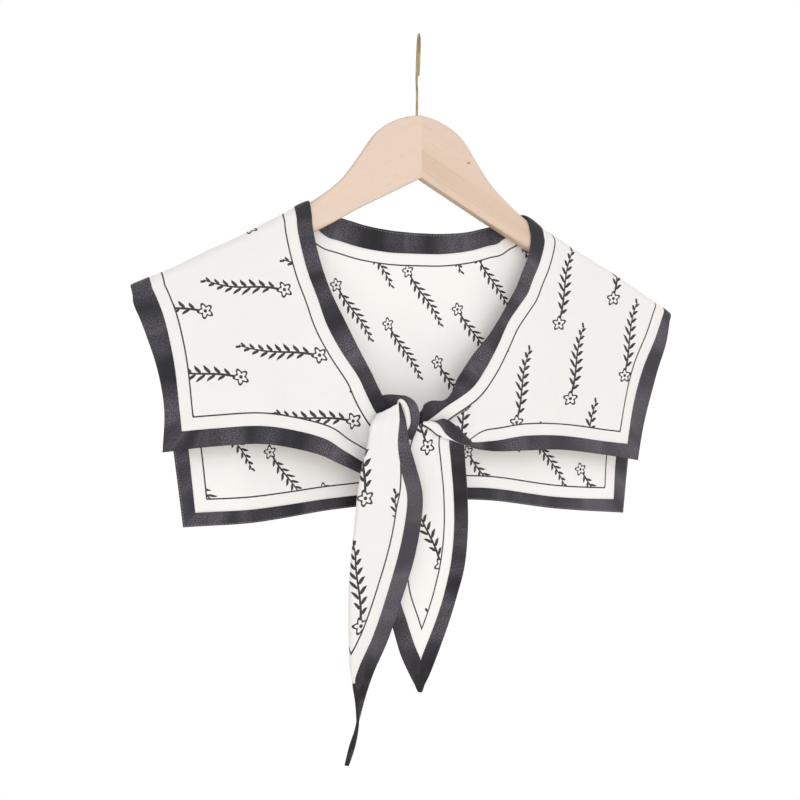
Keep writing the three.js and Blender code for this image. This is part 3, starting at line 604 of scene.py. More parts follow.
def from_seams(flat):
    """Distances from the two band seams for a flat grid of the whole collar."""
    made = np.empty(flat.shape)
    for rows, lines in ((slice(0, left_rows), left_lines), (slice(left_rows, None), right_lines)):
        made[rows, :, 0] = distance_to(lines["neck_seam"], flat[rows])
        made[rows, :, 1] = distance_to(lines["hem_seam"], flat[rows])
    return made


def wave(value, pitch, shift):
    return np.sin(2 * math.pi * value / pitch + shift)


def hang(flat, seams):
    """Flat points hung over the arms, in millimetres, with the drape of the cloth."""
    along, across = flat[..., 0], flat[..., 1]
    face = np.where(across < 0, -1.0, 1.0)
    distance = np.abs(across)
    angle = np.minimum(distance / FOLD_RADIUS, math.pi / 2)
    drop = np.maximum(distance - FOLD_ARC, 0)
    depth = FOLD_RADIUS * (1 - np.cos(angle)) + drop
    x = halves * (NECK_X + along * math.cos(ARM_SLOPE) - depth * math.sin(ARM_SLOPE))
    z = NECK_Z - along * math.sin(ARM_SLOPE) - depth * math.cos(ARM_SLOPE)
    z = z + np.interp(x, LEAN_AT, LEAN) * (1 - smooth_step(drop, 10, 60))
    # the neck edge stands up a little where it crosses each arm
    z = z + np.exp(-((along - 8) / 9) ** 2) * np.where(halves > 0, 1.4, 1.1) * (1 - smooth_step(drop, 0, 25))
    # the back and the fronts hang in shallow waves, and the knot draws the fronts forward
    fade = smooth_step(drop, 30, 110)
    behind = 1.5 * fade * (1 + wave(x, 96, 1.1)) + 0.5 * fade * wave(x, 41, z / 60)
    pull = np.exp(-(((x + 20) / 75) ** 2 + ((z + 297) / 62) ** 2))
    before = -13 * pull - 1.8 * (1 + wave(x, 74, 0.6)) * fade * (1 - pull)
    before = before + 0.7 * fade * (1 - pull) * wave(x, 37, z / 45)
    # creases run out from the knot over the left front, which dips beside it
    reach = np.hypot(x + 27, z + 300)
    rays = np.cos(9 * np.arctan2(z + 300, x + 27) + 0.4)
    before = before + 0.9 * rays * np.exp(-((reach - 48) / 26) ** 2) * smooth_step(-x, 30, 60)
    beside = np.exp(-((x + 50) / 15) ** 2 - ((z + 306) / 24) ** 2)
    before = before + 8 * beside * smooth_step(seams[..., 0], 9, 20) * (halves < 0)
    # the right front is pleated along its neck band
    pleat = smooth_step(seams[..., 0], 9.6, 11.6) * (1 - smooth_step(seams[..., 0], 12, 40))
    before = before + 6.5 * pleat * (halves > 0) * (1 - smooth_step(np.hypot(x + 6, z + 301), 18, 74))
    y = -face * FOLD_RADIUS * np.sin(angle) + np.where(face < 0, behind, before) + tuck_line
    return np.stack([x, y, z], axis=-1)


def turned_print(x, z, turn):
    """Print coordinates in metres for flat places in millimetres, turned by so many degrees."""
    cos, sin = math.cos(math.radians(turn)), math.sin(math.radians(turn))
    return np.stack([x * cos + z * sin, z * cos - x * sin], axis=-1) / 1000


def collar_print(flat, turn, motif, front, scale=1.0):
    """The print of one length of the collar, with the middle of one motif where it shows."""
    across = flat[..., 1] if front else -flat[..., 1]
    depth = across - FOLD_ARC + FOLD_RADIUS
    x = halves * (NECK_X + flat[..., 0] * math.cos(ARM_SLOPE) - depth * math.sin(ARM_SLOPE)) - motif[0]
    z = NECK_Z - flat[..., 0] * math.sin(ARM_SLOPE) - depth * math.cos(ARM_SLOPE) - motif[1]
    return scale * turned_print(x, z, turn)


def grid_normals(middle):
    normal = np.cross(np.gradient(middle, axis=0), np.gradient(middle, axis=1))
    return normal / np.maximum(np.linalg.norm(normal, axis=-1), 1e-9)[..., None]


def cloth_wall(name, middle, half, charts, material, part=None):
    """A closed wall of cloth, with half its thickness on each side of its middle surface. Each chart is
    one or more sheets of coordinates, and part says which of them each row of cells reads."""
    rows, columns = middle.shape[:2]
    normal = grid_normals(middle) * np.broadcast_to(half, (rows, columns))[..., None]
    count = rows * columns
    points = np.concatenate([(middle + normal).reshape(-1, 3), (middle - normal).reshape(-1, 3)])
    index = np.arange(count).reshape(rows, columns)
    a, b, c, d = index[:-1, :-1], index[1:, :-1], index[1:, 1:], index[:-1, 1:]
    over = np.stack([a, b, c, d], axis=-1).reshape(-1, 4)
    under = np.stack([a, d, c, b], axis=-1).reshape(-1, 4) + count
    rim = np.concatenate([index[:, 0], index[-1, 1:], index[:-1, -1][::-1], index[0, 1:-1][::-1]])
    following = np.roll(rim, -1)
    sides = np.stack([rim, rim + count, following + count, following], axis=-1)
    faces = np.concatenate([over, under, sides])
    mesh = bpy.data.meshes.new(name)
    mesh.from_pydata((points / 1000).tolist(), [], faces.tolist())
    row, column = np.divmod(faces % count, columns)
    cell_row = np.minimum(row.min(axis=1), rows - 2)
    for key, sheets in charts.items():
        sheets = sheets if sheets.ndim == 4 else sheets[None]
        chosen = part[cell_row] if len(sheets) > 1 else np.zeros(len(faces), int)
        layer = mesh.uv_layers.new(name=key)
        layer.data.foreach_set("uv", sheets[chosen[:, None], row, column].astype(np.float32).ravel())
    return new_piece(name, mesh, material)


# the print, in millimetres: the steps from one sprig to the next, its stem, leaves and blossom
SPRIG_STEPS = ((32, -44), (55.5, 25))
STEM_MIDDLE, STEM_HALF, STEM_SWAY = 5, 28, 1.8
LEAF_PITCH, LEAF_WIDTH, LEAF_SLANT = 6.8, 1.75, 0.9
LEAF_ROWS = 4
BLOSSOM_AT, PETAL_REACH, PETAL_SWELL, PETAL_INK, EYE = 27, 4.3, 1.2, 0.85, 1.3


def sprigs(x, y):
    """Ink where a half-drop print of leafy sprigs has it, for print coordinates in millimetres."""
    (step_x, step_y), (next_x, next_y) = SPRIG_STEPS
    cell = step_x * next_y - step_y * next_x
    first = round(x * (next_y / cell) - y * (next_x / cell))
    second = round(x * (-step_y / cell) + y * (step_x / cell))
    x = x - (first * step_x + second * next_x)
    y = y - (first * step_y + second * next_y)
    rise = y - (x * 0.085).worked("SINE") * STEM_SWAY
    away = abs(rise)
    stem = (away < x * -0.008 + 0.72) * (abs(x - STEM_MIDDLE) < STEM_HALF)
    number = (x - away * LEAF_SLANT - rise.worked("SIGN") * (LEAF_PITCH / 4)) / LEAF_PITCH
    leaf = math.floor(number)
    beside = abs((number - leaf - 0.5) * LEAF_PITCH)
    length = LEAF_PITCH - abs(leaf + 0.8) * 0.85
    share = (away / length).worked("MINIMUM", 1)
    width = (share ** 0.8 * math.pi).worked("SINE") * LEAF_WIDTH
    leaves = (width > beside + 0.05) * (abs(leaf - 0.5) < LEAF_ROWS) * (length > 2)
    petal_x, petal_y = x + BLOSSOM_AT, rise + 0.6
    reach = (petal_x * petal_x + petal_y * petal_y).worked("SQRT")
    petals = (petal_y.worked("ARCTAN2", petal_x) * 5).worked("SINE") * PETAL_SWELL + PETAL_REACH
    blossom = (abs(reach - petals) < PETAL_INK).worked("MAXIMUM", reach < EYE)
    return stem.worked("MAXIMUM", leaves).worked("MAXIMUM", blossom)


def printed_satin():
    """Ivory satin, printed with a fine charcoal line inside its bands and with sprigs inside the line."""
    satin = Finish("ivory_satin")
    drawn = satin.chart("print")
    x, y, _ = satin.parts(drawn)
    from_neck, from_hem, _ = satin.parts(satin.chart("seams"))
    nearest = from_neck.worked("MINIMUM", from_hem)
    line = abs(nearest - LINE_INSET) < INK_LINE
    ink = line.worked("MAXIMUM", sprigs(x * 1000, y * 1000) * (nearest > LINE_INSET))
    place = satin.place()
    tone = satin.noise(place, 1500, 1) * 0.7 + satin.noise(place, 22, 2) * 0.3
    ground = satin.mix(tone, (0.868, 0.846, 0.836), (0.936, 0.916, 0.910))
    threads = satin.placed(drawn, turn=(0, 0, 0.6), scale=(900, 4200, 1))
    weave = satin.bump(satin.noise(threads, 1, 1), 0.08, 0.0001)
    return satin.shade({
        "Base Color": satin.mix(ink * 0.98, ground, (0.022, 0.019, 0.022)),
        "Roughness": tone * 0.16 + 0.40,
        "Specular IOR Level": 0.35,
        "Subsurface Weight": 0.35,
        "Subsurface Radius": (1.0, 0.92, 0.82),
        "Subsurface Scale": 0.0025,
        "Sheen Weight": 0.12,
        "Sheen Roughness": 0.4,
        "Normal": satin.bump(satin.noise(place, 60, 2), 0.12, 0.0012, weave),
    })


ivory = printed_satin()
neck_gap = np.linalg.norm(neck_line - neck_seam, axis=1)[:, None]
field_start = neck_seam + (neck_line - neck_seam) * (TUCKED / neck_gap)
hem_gap = np.linalg.norm(hem_line - hem_seam, axis=1)
tucked_hem = np.where(np.arange(all_rows) > hem_end, hem_gap, np.minimum(TUCKED, hem_gap * 0.9))
field_stop = hem_seam + (hem_line - hem_seam) * (tucked_hem / hem_gap)[:, None]
shares = np.linspace(0, 1, FIELD_COLUMNS + 1)[None, :, None]
field_flat = field_start[:, None] * (1 - shares) + field_stop[:, None] * shares
field_seams = from_seams(field_flat)
field_middle = hang(field_flat, field_seams)
# the printed line stops where the right front goes into the knot
at_knot = (halves > 0) * (field_flat[..., 1] > 0) * (1 - smooth_step(field_middle[..., 0], 24, 62))
field_seams[..., 1] += 14 * at_knot ** 2
field_part = np.zeros(all_rows - 1, int)
field_part[left_shoulder:all_rows - 1 - right_shoulder] = 1
field_part[all_rows - 1 - right_shoulder:] = 2
field_prints = np.stack([
    collar_print(field_flat, 172, (-136.7, -201), True),
    collar_print(field_flat, -58, (7.6, -200.2), False, 1.2),
    collar_print(field_flat, 75, (124.2, -193), True),
])
field_charts = {"print": field_prints, "seams": field_seams / 1000}
collar_field = cloth_wall("collar_field", field_middle, FIELD_HALF, field_charts, ivory, field_part)
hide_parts("collar_cloth")


# The bands: black satin folded over the collar's edges, one along the neck edge and one along the outer
# edge, mitred at the four corners. Each is topstitched with lockstitch about 1 mm inside its fold: the
# needle thread is charcoal and sinks into the satin, and the bobbin thread behind is a lighter grey.

BAND_SHARES = np.array([0, 0.008, 0.03, 0.06, 0.1, 0.2, 0.35, 0.5, 0.65, 0.8, 0.92, 0.975, 1])
BAND_HALF, BAND_ROLL, SEAM_ROLL = 0.82, 1.3, 0.5
STITCHED_AT = 4
# in metres, as the satin's finish and the stitching read them
STITCH_PITCH = 0.0023
STITCH_LENGTH = 0.00155
THREAD = 0.00034
CHARCOAL = (0.07, 0.066, 0.078)
LIGHT_GREY = (0.42, 0.41, 0.42)


def rolled(distance, radius, least):
    """The share of its full thickness that cloth has at a distance from its rolled edge."""
    return np.sqrt(np.clip(1 - (1 - np.minimum(distance / radius, 1)) ** 2, least, 1))


def across_rows(first, last, share):
    """Points at a share of the way from the first to the last of each row."""
    return first[:, None] + (last - first)[:, None] * share[..., None]


def band_half(width, length):
    """Half the thickness of a band across its width: a soft fold at its edge and a flat seam."""
    away = BAND_SHARES[None, :] * width[:, None]
    pucker = 0.10 * np.sin(length / 1.9 + 1.5 * np.sin(length / 17)) + 0.07 * np.sin(length / 3.1 + 1)
    dip = np.exp(-((away - 1.2) / 0.7) ** 2)
    half = BAND_HALF * rolled(away, BAND_ROLL, 0.004) * rolled(width[:, None] - away, SEAM_ROLL, 0.35)
    return half + pucker[:, None] * np.sin(math.pi * BAND_SHARES)[None, :] - 0.14 * dip * (width > 3)[:, None]


def run_length(line):
    return np.concatenate([[0], np.cumsum(np.linalg.norm(np.diff(line, axis=0), axis=-1))])


def black_satin():
    """Charcoal satin with its sheen painted in: paler specks where its weave glints, paler rucks and broad
    darker patches.
    Its puckers are closest where it is stitched down. It is painted paler at the right and on the front tie
    end, as if lit from there, and painted darker in creases at the tips, a painted shade."""
    satin = Finish("black_satin")
    band = satin.chart("band")
    soft = satin.noise(satin.placed(band, scale=(27, 11, 1)), 1, 1.5)
    specks = satin.noise(satin.placed(band, scale=(900, 1500, 1)), 1, 2)
    ruck = satin.noise(satin.placed(band, scale=(150, 38, 1)), 1, 2)
    # painted sheen: the specks, the rucks and the broad patches of the satin's light are painted into its
    # colour
    colour = satin.mix(satin.between(specks, 0.4, 0.7), (0.030, 0.028, 0.037), (0.155, 0.144, 0.176))
    colour = satin.mix(satin.between(ruck, 0.45, 0.7) * 0.35, colour, (0.14, 0.131, 0.16))
    colour = satin.mix(satin.between(soft, 0.62, 0.36), colour, (0.011, 0.010, 0.014))
    place = satin.place()
    x, y, z = satin.parts(place)
    tips = satin.between(z, -0.455, -0.49)
    lit_front_tie = satin.between(y, -0.028, -0.032) * (satin.between(z, -0.318, -0.35) - tips)
    # painted light: paler towards the right and on the front tie end, as if these caught more light
    paler = (satin.between(x, 0.03, 0.17) * 0.85).worked("MAXIMUM", lit_front_tie)
    colour = satin.mix(paler * 0.32, colour, (0.14, 0.131, 0.16))
    # painted shade: the tips are painted darker, most of all in crease-like patches
    crease_shade = satin.between(satin.noise(satin.placed(place, scale=(1, 1, 0.5)), 120, 1), 0.58, 0.42)
    colour = satin.mix((crease_shade * 0.7 + 0.25) * tips, colour, (0.009, 0.008, 0.011))
    along, inside, _ = satin.parts(band)
    gather = (along * (2 * math.pi / STITCH_PITCH)).worked("SINE") * satin.between(inside, 0.0045, 0.0008)
    rucked = satin.bump(ruck, 0.45, 0.0012, satin.bump(specks, 0.12, 0.0001))
    return satin.shade({
        "Base Color": colour,
        "Roughness": soft * 0.25 + 0.34,
        "Specular IOR Level": 0.3,
        "Sheen Weight": 0.06,
        "Sheen Roughness": 0.35,
        "Normal": satin.bump(gather, 0.35, 0.00012, rucked),
    })


def spun_thread(name, colour):
    """Spun polyester thread, with its twist."""
    thread = Finish(name)
    twist = thread.noise(thread.place(), 2600, 1)
    shaded = [c * 0.7 for c in colour]
    return thread.shade({
        "Base Color": thread.mix(thread.between(twist, 0.35, 0.65), shaded, colour),
        "Roughness": 0.55,
        "Normal": thread.bump(twist, 0.2, 0.00005),
    })


stitching = bpy.data.node_groups.new("topstitching", "GeometryNodeTree")
stitch_inputs = {}
for label, kind in (
    ("Seam", "NodeSocketGeometry"),
    ("Stitch pitch", "NodeSocketFloat"),
    ("Stitch length", "NodeSocketFloat"),
    ("Thread thickness", "NodeSocketFloat"),
    ("Thread", "NodeSocketMaterial"),
):
    socket = stitching.interface.new_socket(name=label, in_out="INPUT", socket_type=kind)
    stitch_inputs[label] = socket.identifier
stitching.interface.new_socket(name="Stitches", in_out="OUTPUT", socket_type="NodeSocketGeometry")
steps = {
    name: stitching.nodes.new(kind)
    for name, kind in (
        ("given", "NodeGroupInput"),
        ("seam", "GeometryNodeMeshToCurve"),
        ("paced", "GeometryNodeResampleCurve"),
        ("bead", "GeometryNodeMeshUVSphere"),
        ("size", "ShaderNodeCombineXYZ"),
        ("stitch", "GeometryNodeTransform"),
        ("run", "GeometryNodeInputTangent"),
        ("turn", "FunctionNodeAlignRotationToVector"),
        ("sewn", "GeometryNodeInstanceOnPoints"),
        ("whole", "GeometryNodeRealizeInstances"),
        ("finish", "GeometryNodeSetMaterial"),
        ("made", "NodeGroupOutput"),
    )
}
steps["paced"].mode = "LENGTH"
steps["turn"].axis = "X"
steps["bead"].inputs["Segments"].default_value = 6
steps["bead"].inputs["Rings"].default_value = 5
steps["bead"].inputs["Radius"].default_value = 0.5
for source, output, target, entry in (
    ("given", "Seam", "seam", "Mesh"),
    ("seam", "Curve", "paced", "Curve"),
    ("given", "Stitch pitch", "paced", "Length"),
    ("given", "Stitch length", "size", "X"),
    ("given", "Thread thickness", "size", "Y"),
    ("given", "Thread thickness", "size", "Z"),
    ("bead", "Mesh", "stitch", "Geometry"),
    ("size", "Vector", "stitch", "Scale"),
    ("run", "Tangent", "turn", "Vector"),
    ("paced", "Curve", "sewn", "Points"),
    ("stitch", "Geometry", "sewn", "Instance"),
    ("turn", "Rotation", "sewn", "Rotation"),
    ("sewn", "Instances", "whole", "Geometry"),
    ("whole", "Geometry", "finish", "Geometry"),
    ("given", "Thread", "finish", "Material"),
    ("finish", "Geometry", "made", "Stitches"),
):
    stitching.links.new(steps[source].outputs[output], steps[target].inputs[entry])


def topstitch(name, lines, thread):
    """One piece of stitches along lines given in millimetres."""
    points, edges = [], []
    for line in lines:
        edges.extend((len(points) + k, len(points) + k + 1) for k in range(len(line) - 1))
        points.extend((line / 1000).tolist())
    seam = bpy.data.meshes.new(f"{name}_seam")
    seam.from_pydata(points, edges, [])
    guide = bpy.data.objects.new(f"{name}_seam", seam)
    bpy.context.collection.objects.link(guide)
    sewing = guide.modifiers.new("topstitching", "NODES")
    sewing.node_group = stitching
    sewing[stitch_inputs["Stitch pitch"]] = STITCH_PITCH
    sewing[stitch_inputs["Stitch length"]] = STITCH_LENGTH
    sewing[stitch_inputs["Thread thickness"]] = THREAD
    sewing[stitch_inputs["Thread"]] = thread
    mesh = bpy.data.meshes.new_from_object(guide.evaluated_get(bpy.context.evaluated_depsgraph_get()))
    guide.modifiers.clear()
    bpy.data.objects.remove(guide)
    mesh.name = name
    piece = new_piece(name, mesh)
    return piece


black = black_satin()
needle_thread = spun_thread("needle_thread", CHARCOAL)
bobbin_thread = spun_thread("bobbin_thread", LIGHT_GREY)
needle_lines, bobbin_lines = [], []


def sew_band(name, edge, seam, rows, outwards):
    """One band of the collar. It notes where its stitching runs on the outer and on the inner face."""
    flat = across_rows(edge, seam, BAND_SHARES[None, :])
    middle = hang(flat, from_seams(flat))[rows]
    width = np.linalg.norm(seam - edge, axis=1)[rows]
    length = run_length(middle[:, 0])
    half = band_half(width, length)
    lengthwise = np.broadcast_to(length[:, None], half.shape)
    chart = np.stack([lengthwise, width[:, None] * BAND_SHARES], axis=-1) / 1000
    faced = slice(None, None, outwards)
    piece = cloth_wall(name, middle[:, faced], half[:, faced], {"band": chart[:, faced]}, black)
    sunk = outwards * grid_normals(middle)[:, STITCHED_AT] * half[:, STITCHED_AT, None]
    needle_lines.append(middle[:, STITCHED_AT] + sunk)
    bobbin_lines.append(middle[:, STITCHED_AT] - sunk)
    return piece


neck_band = sew_band("neck_band", neck_line, neck_seam, slice(None), 1)
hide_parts("neck_border")
hem_band = sew_band("hem_band", hem_line, hem_seam, slice(0, hem_end + 1), -1)
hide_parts("hem_border")
collar_stitches = topstitch("collar_stitches", needle_lines, needle_thread)
collar_bobbin_stitches = topstitch("collar_bobbin_stitches", bobbin_lines, bobbin_thread)


# The rear tie end: a blade of the same printed satin with a black band round it, which comes down from
# under the knot and ends in a point.

# left x, left z, right x, right z, y, band
REAR_TIE = [
    (-34, -299.5, 14, -302.5, -22.2, 12.5),
    (-36, -306, 27.5, -309, -21.8, 12.5),
    (-38, -313, 28.2, -315.5, -21.6, 12.5),
    (-39, -320, 28.8, -320.5, -21.4, 12.5),
    (-40, -332, 29.8, -331, -20.8, 12),
    (-41, -352, 32, -352, -20, 12),
    (-41.5, -380, 32.3, -380, -20, 12),
    (-40.5, -408, 29.3, -408, -20, 12),
    (-36.5, -430, 22.9, -430, -20, 10.8),
    (-29.5, -451, 15.7, -451, -20, 11),
    (-23, -472, 7.5, -472, -20, 12.3),
    (-15.5, -488, 0.6, -488, -20, 12),
    (-11.3, -495.6, -3.5, -495.6, -20, 12),
    (-9.9, -498.8, -4.6, -498.8, -20, 12),
    (-8.2, -500.6, -6, -500.6, -20, 12),
]
TIE_SHARES = np.array([0, 0.01, 0.035, 0.07, 0.1, 0.2, 0.35, 0.5, 0.65, 0.8, 0.9, 0.96, 1])
TIE_CELLS = 26
PANEL_HALF = 0.5
TIE_HALF, TIE_ROLL, UNDER_PANEL_HALF = 0.8, 1.2, 0.3
TOP_ROWS = 20
TOP_BAND = 12.5
LEAST_CORE = 0.5
REAR_STITCHED = slice(42, -8)


def spread(start, length, cells):
    """Places across each row, from its start over a length, in so many cells."""
    return start[:, None] + length[:, None] * np.linspace(0, 1, cells + 1)[None, :]


def band_reach(left, right, edge, width):
    """How much of each row a band covers, where its edge runs slanting to the row."""
    run = unit(np.gradient(edge, axis=0))
    across = unit(right - left)
    crossing = np.abs(run[:, 0] * across[:, 1] - run[:, 1] * across[:, 0])
    return width * np.minimum(1 / np.maximum(crossing, 0.01), 2.8)


def tie_thickness(across, width, left_seam, right_seam):
    """Half the thickness of the black layer: full in the bands, thin under the ivory between them."""
    edge = np.minimum(across, width[:, None] - across)
    under = smooth_step(np.minimum(across - left_seam[:, None], right_seam[:, None] - across), -0.3, 0.5)
    return (TIE_HALF - (TIE_HALF - UNDER_PANEL_HALF) * under) * rolled(edge, TIE_ROLL, 0.01)


def tie_charts(x, z, seam_lines, turn, motif):
    """The print and the distances from two seams, in metres, for places on a tie end laid flat."""
    flat = np.stack([x, z], axis=-1)
    seams = np.stack([distance_to(line, flat) for line in seam_lines], axis=-1)
    return {"print": turned_print(x - motif[0], z - motif[1], turn), "seams": seams / 1000}


def tie_lines(middle, half, columns, rows):
    """Where a tie end's band is stitched down, on both of its faces."""
    normal = grid_normals(middle)
    return [
        middle[rows, at] + normal[rows, at] * (half[rows, at] * face)[:, None]
        for at in columns for face in (1, -1)
    ]


rear = smooth_curve(REAR_TIE, [ROWS_A_SECTION] * (len(REAR_TIE) - 1), even=True)
rear_left, rear_right = rear[:, 0:2], rear[:, 2:4]
rear_width = np.linalg.norm(rear_right - rear_left, axis=1)
left_reach = band_reach(rear_left, rear_right, rear_left, rear[:, 5])
right_reach = band_reach(rear_left, rear_right, rear_right, rear[:, 5])
right_reach[:TOP_ROWS] = TOP_BAND
open_width = rear_width - left_reach - right_reach
core = np.maximum(open_width, LEAST_CORE)
squeeze = (rear_width - core) / (left_reach + right_reach)
left_reach, right_reach = left_reach * squeeze, right_reach * squeeze
rear_across = np.concatenate([
    TIE_SHARES[None, :] * left_reach[:, None],
    spread(left_reach, core, TIE_CELLS)[:, 1:-1],
    rear_width[:, None] - TIE_SHARES[None, ::-1] * right_reach[:, None],
], axis=1)


def rear_blade(across):
    """Points of the rear tie end at distances across its rows, bulged and slightly rippled."""
    share = across / rear_width[:, None]
    flat = across_rows(rear_left, rear_right, share)
    bulge = 2.5 * np.sin(math.pi * share) * np.minimum(rear_width / 60, 1)[:, None]
    ripple = 0.5 * np.sin(share * 9 + flat[..., 1] / 26) * smooth_step(-flat[..., 1], 320, 350)
    return np.stack([flat[..., 0], rear[:, 4, None] - bulge + ripple, flat[..., 1]], axis=-1)


rear_middle = rear_blade(rear_across)
shown_rows = int(np.argmax(open_width < 0.6)) + 1
closed = np.arange(len(rear)) >= shown_rows
rear_half = tie_thickness(
    rear_across,
    rear_width,
    np.where(closed, rear_width, left_reach),
    np.where(closed, 0, rear_width - right_reach),
)
rear_chart = np.stack([-rear_middle[..., 2], rear_across], axis=-1) / 1000
rear_band = cloth_wall("rear_tie_band", rear_middle, rear_half, {"band": rear_chart}, black)
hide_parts("tie_end_right_border")

panel_across = spread(left_reach, rear_width - left_reach - right_reach, TIE_CELLS)
panel_middle = rear_blade(panel_across)[:shown_rows]
panel_seams = [panel_middle[:, at][:, [0, 2]] for at in (0, -1)]
panel_seams[1][:TOP_ROWS, 0] = panel_seams[1][TOP_ROWS, 0]
panel_charts = tie_charts(panel_middle[..., 0], panel_middle[..., 2], panel_seams, 110, (-2.1, -382))
rear_panel = cloth_wall("rear_tie_panel", panel_middle, PANEL_HALF, panel_charts, ivory)
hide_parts("tie_end_right")

rear_lines = tie_lines(rear_middle, rear_half, (STITCHED_AT, -STITCHED_AT - 1), REAR_STITCHED)
rear_stitches = topstitch("rear_tie_stitches", rear_lines, needle_thread)


# The strap that the rear tie end hangs from. It is the end of the right front, folded over the top of
# the blade, with its ivory ground below the crease and its black band turned outwards above.

# lower x, lower z, upper x, upper z, black share
STRAP = [
    (-8.5, -302, -6, -299.8, 0.02),
    (-1.5, -305.6, -0.6, -299, 0.02),
    (4, -309.6, 4.4, -298.6, 0.18),
    (9, -311.4, 10.4, -297.2, 0.68),
    (15, -313, 16.9, -299.9, 0.9),
    (20, -314.6, 23.5, -305.3, 0.97),
    (26, -316.6, 29.8, -311, 0.98),
    (32, -317.6, 33.4, -314, 0.98),
]
STRAP_Y = -24.6
STRAP_HALF, STRAP_BAND_HALF, STRAP_ROLL = 0.75, 0.7, 0.9

strap = smooth_curve(STRAP, [10] * (len(STRAP) - 1), even=True)
strap_low, strap_high, black_share = strap[:, 0:2], strap[:, 2:4], np.clip(strap[:, 4], 0.02, 0.98)
strap_width = np.linalg.norm(strap_high - strap_low, axis=1)


def crowned_strap(share):
    flat = across_rows(strap_low, strap_high, share)
    crown = 1.3 * np.sin(math.pi * np.clip(share, 0, 1)) * np.minimum(strap_width / 10, 1)[:, None]
    y = STRAP_Y - crown - 0.9 * (1 - share) + 1.2 * share
    return np.stack([flat[..., 0], y, flat[..., 1]], axis=-1)


ivory_share = spread(np.zeros(len(strap)), 1 - black_share, 10)
ivory_strap = crowned_strap(ivory_share)
from_edge = ivory_share * strap_width[:, None]
from_crease = from_edge / 1000 + 0.002 * smooth_step(ivory_strap[..., 0], 7, 9)
strap_charts = {
    "print": turned_print(ivory_strap[..., 0], ivory_strap[..., 2], 60),
    "seams": np.stack([LINE_INSET + 0.0005 - from_crease] * 2, axis=-1),
}
strap_half = STRAP_HALF * rolled(from_edge, STRAP_ROLL, 0.02)
rear_strap = cloth_wall("rear_strap", ivory_strap, strap_half, strap_charts, ivory)
black_strap = crowned_strap(spread(1 - black_share, black_share, 12))
turned_chart = black_strap[..., [0, 2]] / 1000
turned_band = cloth_wall("rear_strap_band", black_strap, STRAP_BAND_HALF, {"band": turned_chart}, black)


# The front tie end: the other strap's blade, folded lengthwise so that its band lies at the right and
# the fold at the left. Its thin end is twisted.

# left x, left z, right x, right z, band, share of the leaf behind, twist in degrees
FRONT_TIE = [
    (-43, -294, -26.4, -285, 1, 0.3, 0),
    (-49.5, -302, -23.4, -299, 5.2, 0.3, 0),
    (-52, -316, -20.6, -316, 9.2, 0.3, 0),
    (-56.4, -332, -15.6, -332, 12, 0.5, 0),
    (-60, -353, -10.2, -353, 12, 0.7, 0),
    (-62.2, -375, -11.6, -375, 12.4, 0.75, 0),
    (-65.2, -402, -17.4, -402, 12.8, 0.75, 0),
    (-66.6, -430, -27, -430, 12.2, 0.75, 0),
    (-66.4, -458, -37.4, -458, 12.4, 0.75, 0),
    (-65.2, -482, -49, -482, 12, 0.75, 0),
    (-62.6, -504, -56.3, -504, 12, 0.75, 25),
    (-63.8, -518, -59, -518, 12, 0.75, 80),
    (-67.8, -533, -63.4, -533, 12, 0.75, 130),
    (-71, -546, -68.3, -546, 12, 0.75, 150),
]
FRONT_TIE_Y = -31.6
FOLD_BEND = 2.6
TIP_HALF = 0.64
IVORY_END = -489
PRINT_SHIFT, PRINT_GROWTH = 0.0165, 1.05
FRONT_STITCHED = slice(26, -20)

front = smooth_curve(FRONT_TIE, [ROWS_A_SECTION] * (len(FRONT_TIE) - 1), even=True)
front_left, front_right = front[:, 0:2], front[:, 2:4]
shown = front_right[:, 0] - front_left[:, 0]
radius = np.minimum(FOLD_BEND, shown * 0.22) * (1 - 0.65 * smooth_step(-front[:, 1], 472, 488))
leaf = shown - radius
roll_end = leaf + math.pi * radius
rear_leaf = leaf * front[:, 5]
whole_width = roll_end + rear_leaf
slanted = band_reach(front_left, front_right, front_right, front[:, 4])
narrow_top = np.arange(len(front)) < 3 * ROWS_A_SECTION
reach = np.minimum(np.where(narrow_top, front[:, 4], slanted), leaf - LEAST_CORE)
reach = reach + (leaf - LEAST_CORE - reach) * smooth_step(-front[:, 1], 480, 489)
rear_reach = np.minimum(12, rear_leaf - LEAST_CORE)
front_across = np.concatenate([
    TIE_SHARES[None, :] * reach[:, None],
    spread(reach, leaf - reach, 16)[:, 1:],
    spread(leaf, roll_end - leaf, 12)[:, 1:],
    spread(roll_end, rear_leaf - rear_reach, 10)[:, 1:],
    whole_width[:, None] - TIE_SHARES[None, ::-1][:, 1:] * rear_reach[:, None],
], axis=1)


def folded(across):
    """Where points at a distance from the right edge lie, round the fold at the left and behind."""
    width, round_off = leaf[:, None], radius[:, None]
    angle = np.clip((across - width) / round_off, 0, math.pi)
    behind = np.maximum(across - width - math.pi * round_off, 0)
    x = front_right[:, 0, None] - np.minimum(across, width) - round_off * np.sin(angle) + behind
    share = np.clip(across / width, 0, 1)
    height = (front[:, 1] + front[:, 3])[:, None] / 2
    y = FRONT_TIE_Y + round_off * (1 - np.cos(angle))
    y = y - 0.9 * np.sin(math.pi * share) * (across < width) * np.minimum(shown / 40, 1)[:, None]
    y = y + 0.5 * smooth_step(height, -345, -300) * np.sin(share * 16 + 0.5) * np.sin(math.pi * share)
    y = y + 4.2 * smooth_step(height, -301, -287)
    slope = ((front_right[:, 1] - front_left[:, 1]) / shown)[:, None]
    turn = np.radians(front[:, 6])[:, None]
    centre_x = (front_left[:, 0] + front_right[:, 0])[:, None] / 2
    centre_y = FRONT_TIE_Y + round_off
    off_x, off_y = x - centre_x, y - centre_y
    return np.stack([
        centre_x + off_x * np.cos(turn) - off_y * np.sin(turn),
        centre_y + off_x * np.sin(turn) + off_y * np.cos(turn),
        height + slope * off_x,
    ], axis=-1)


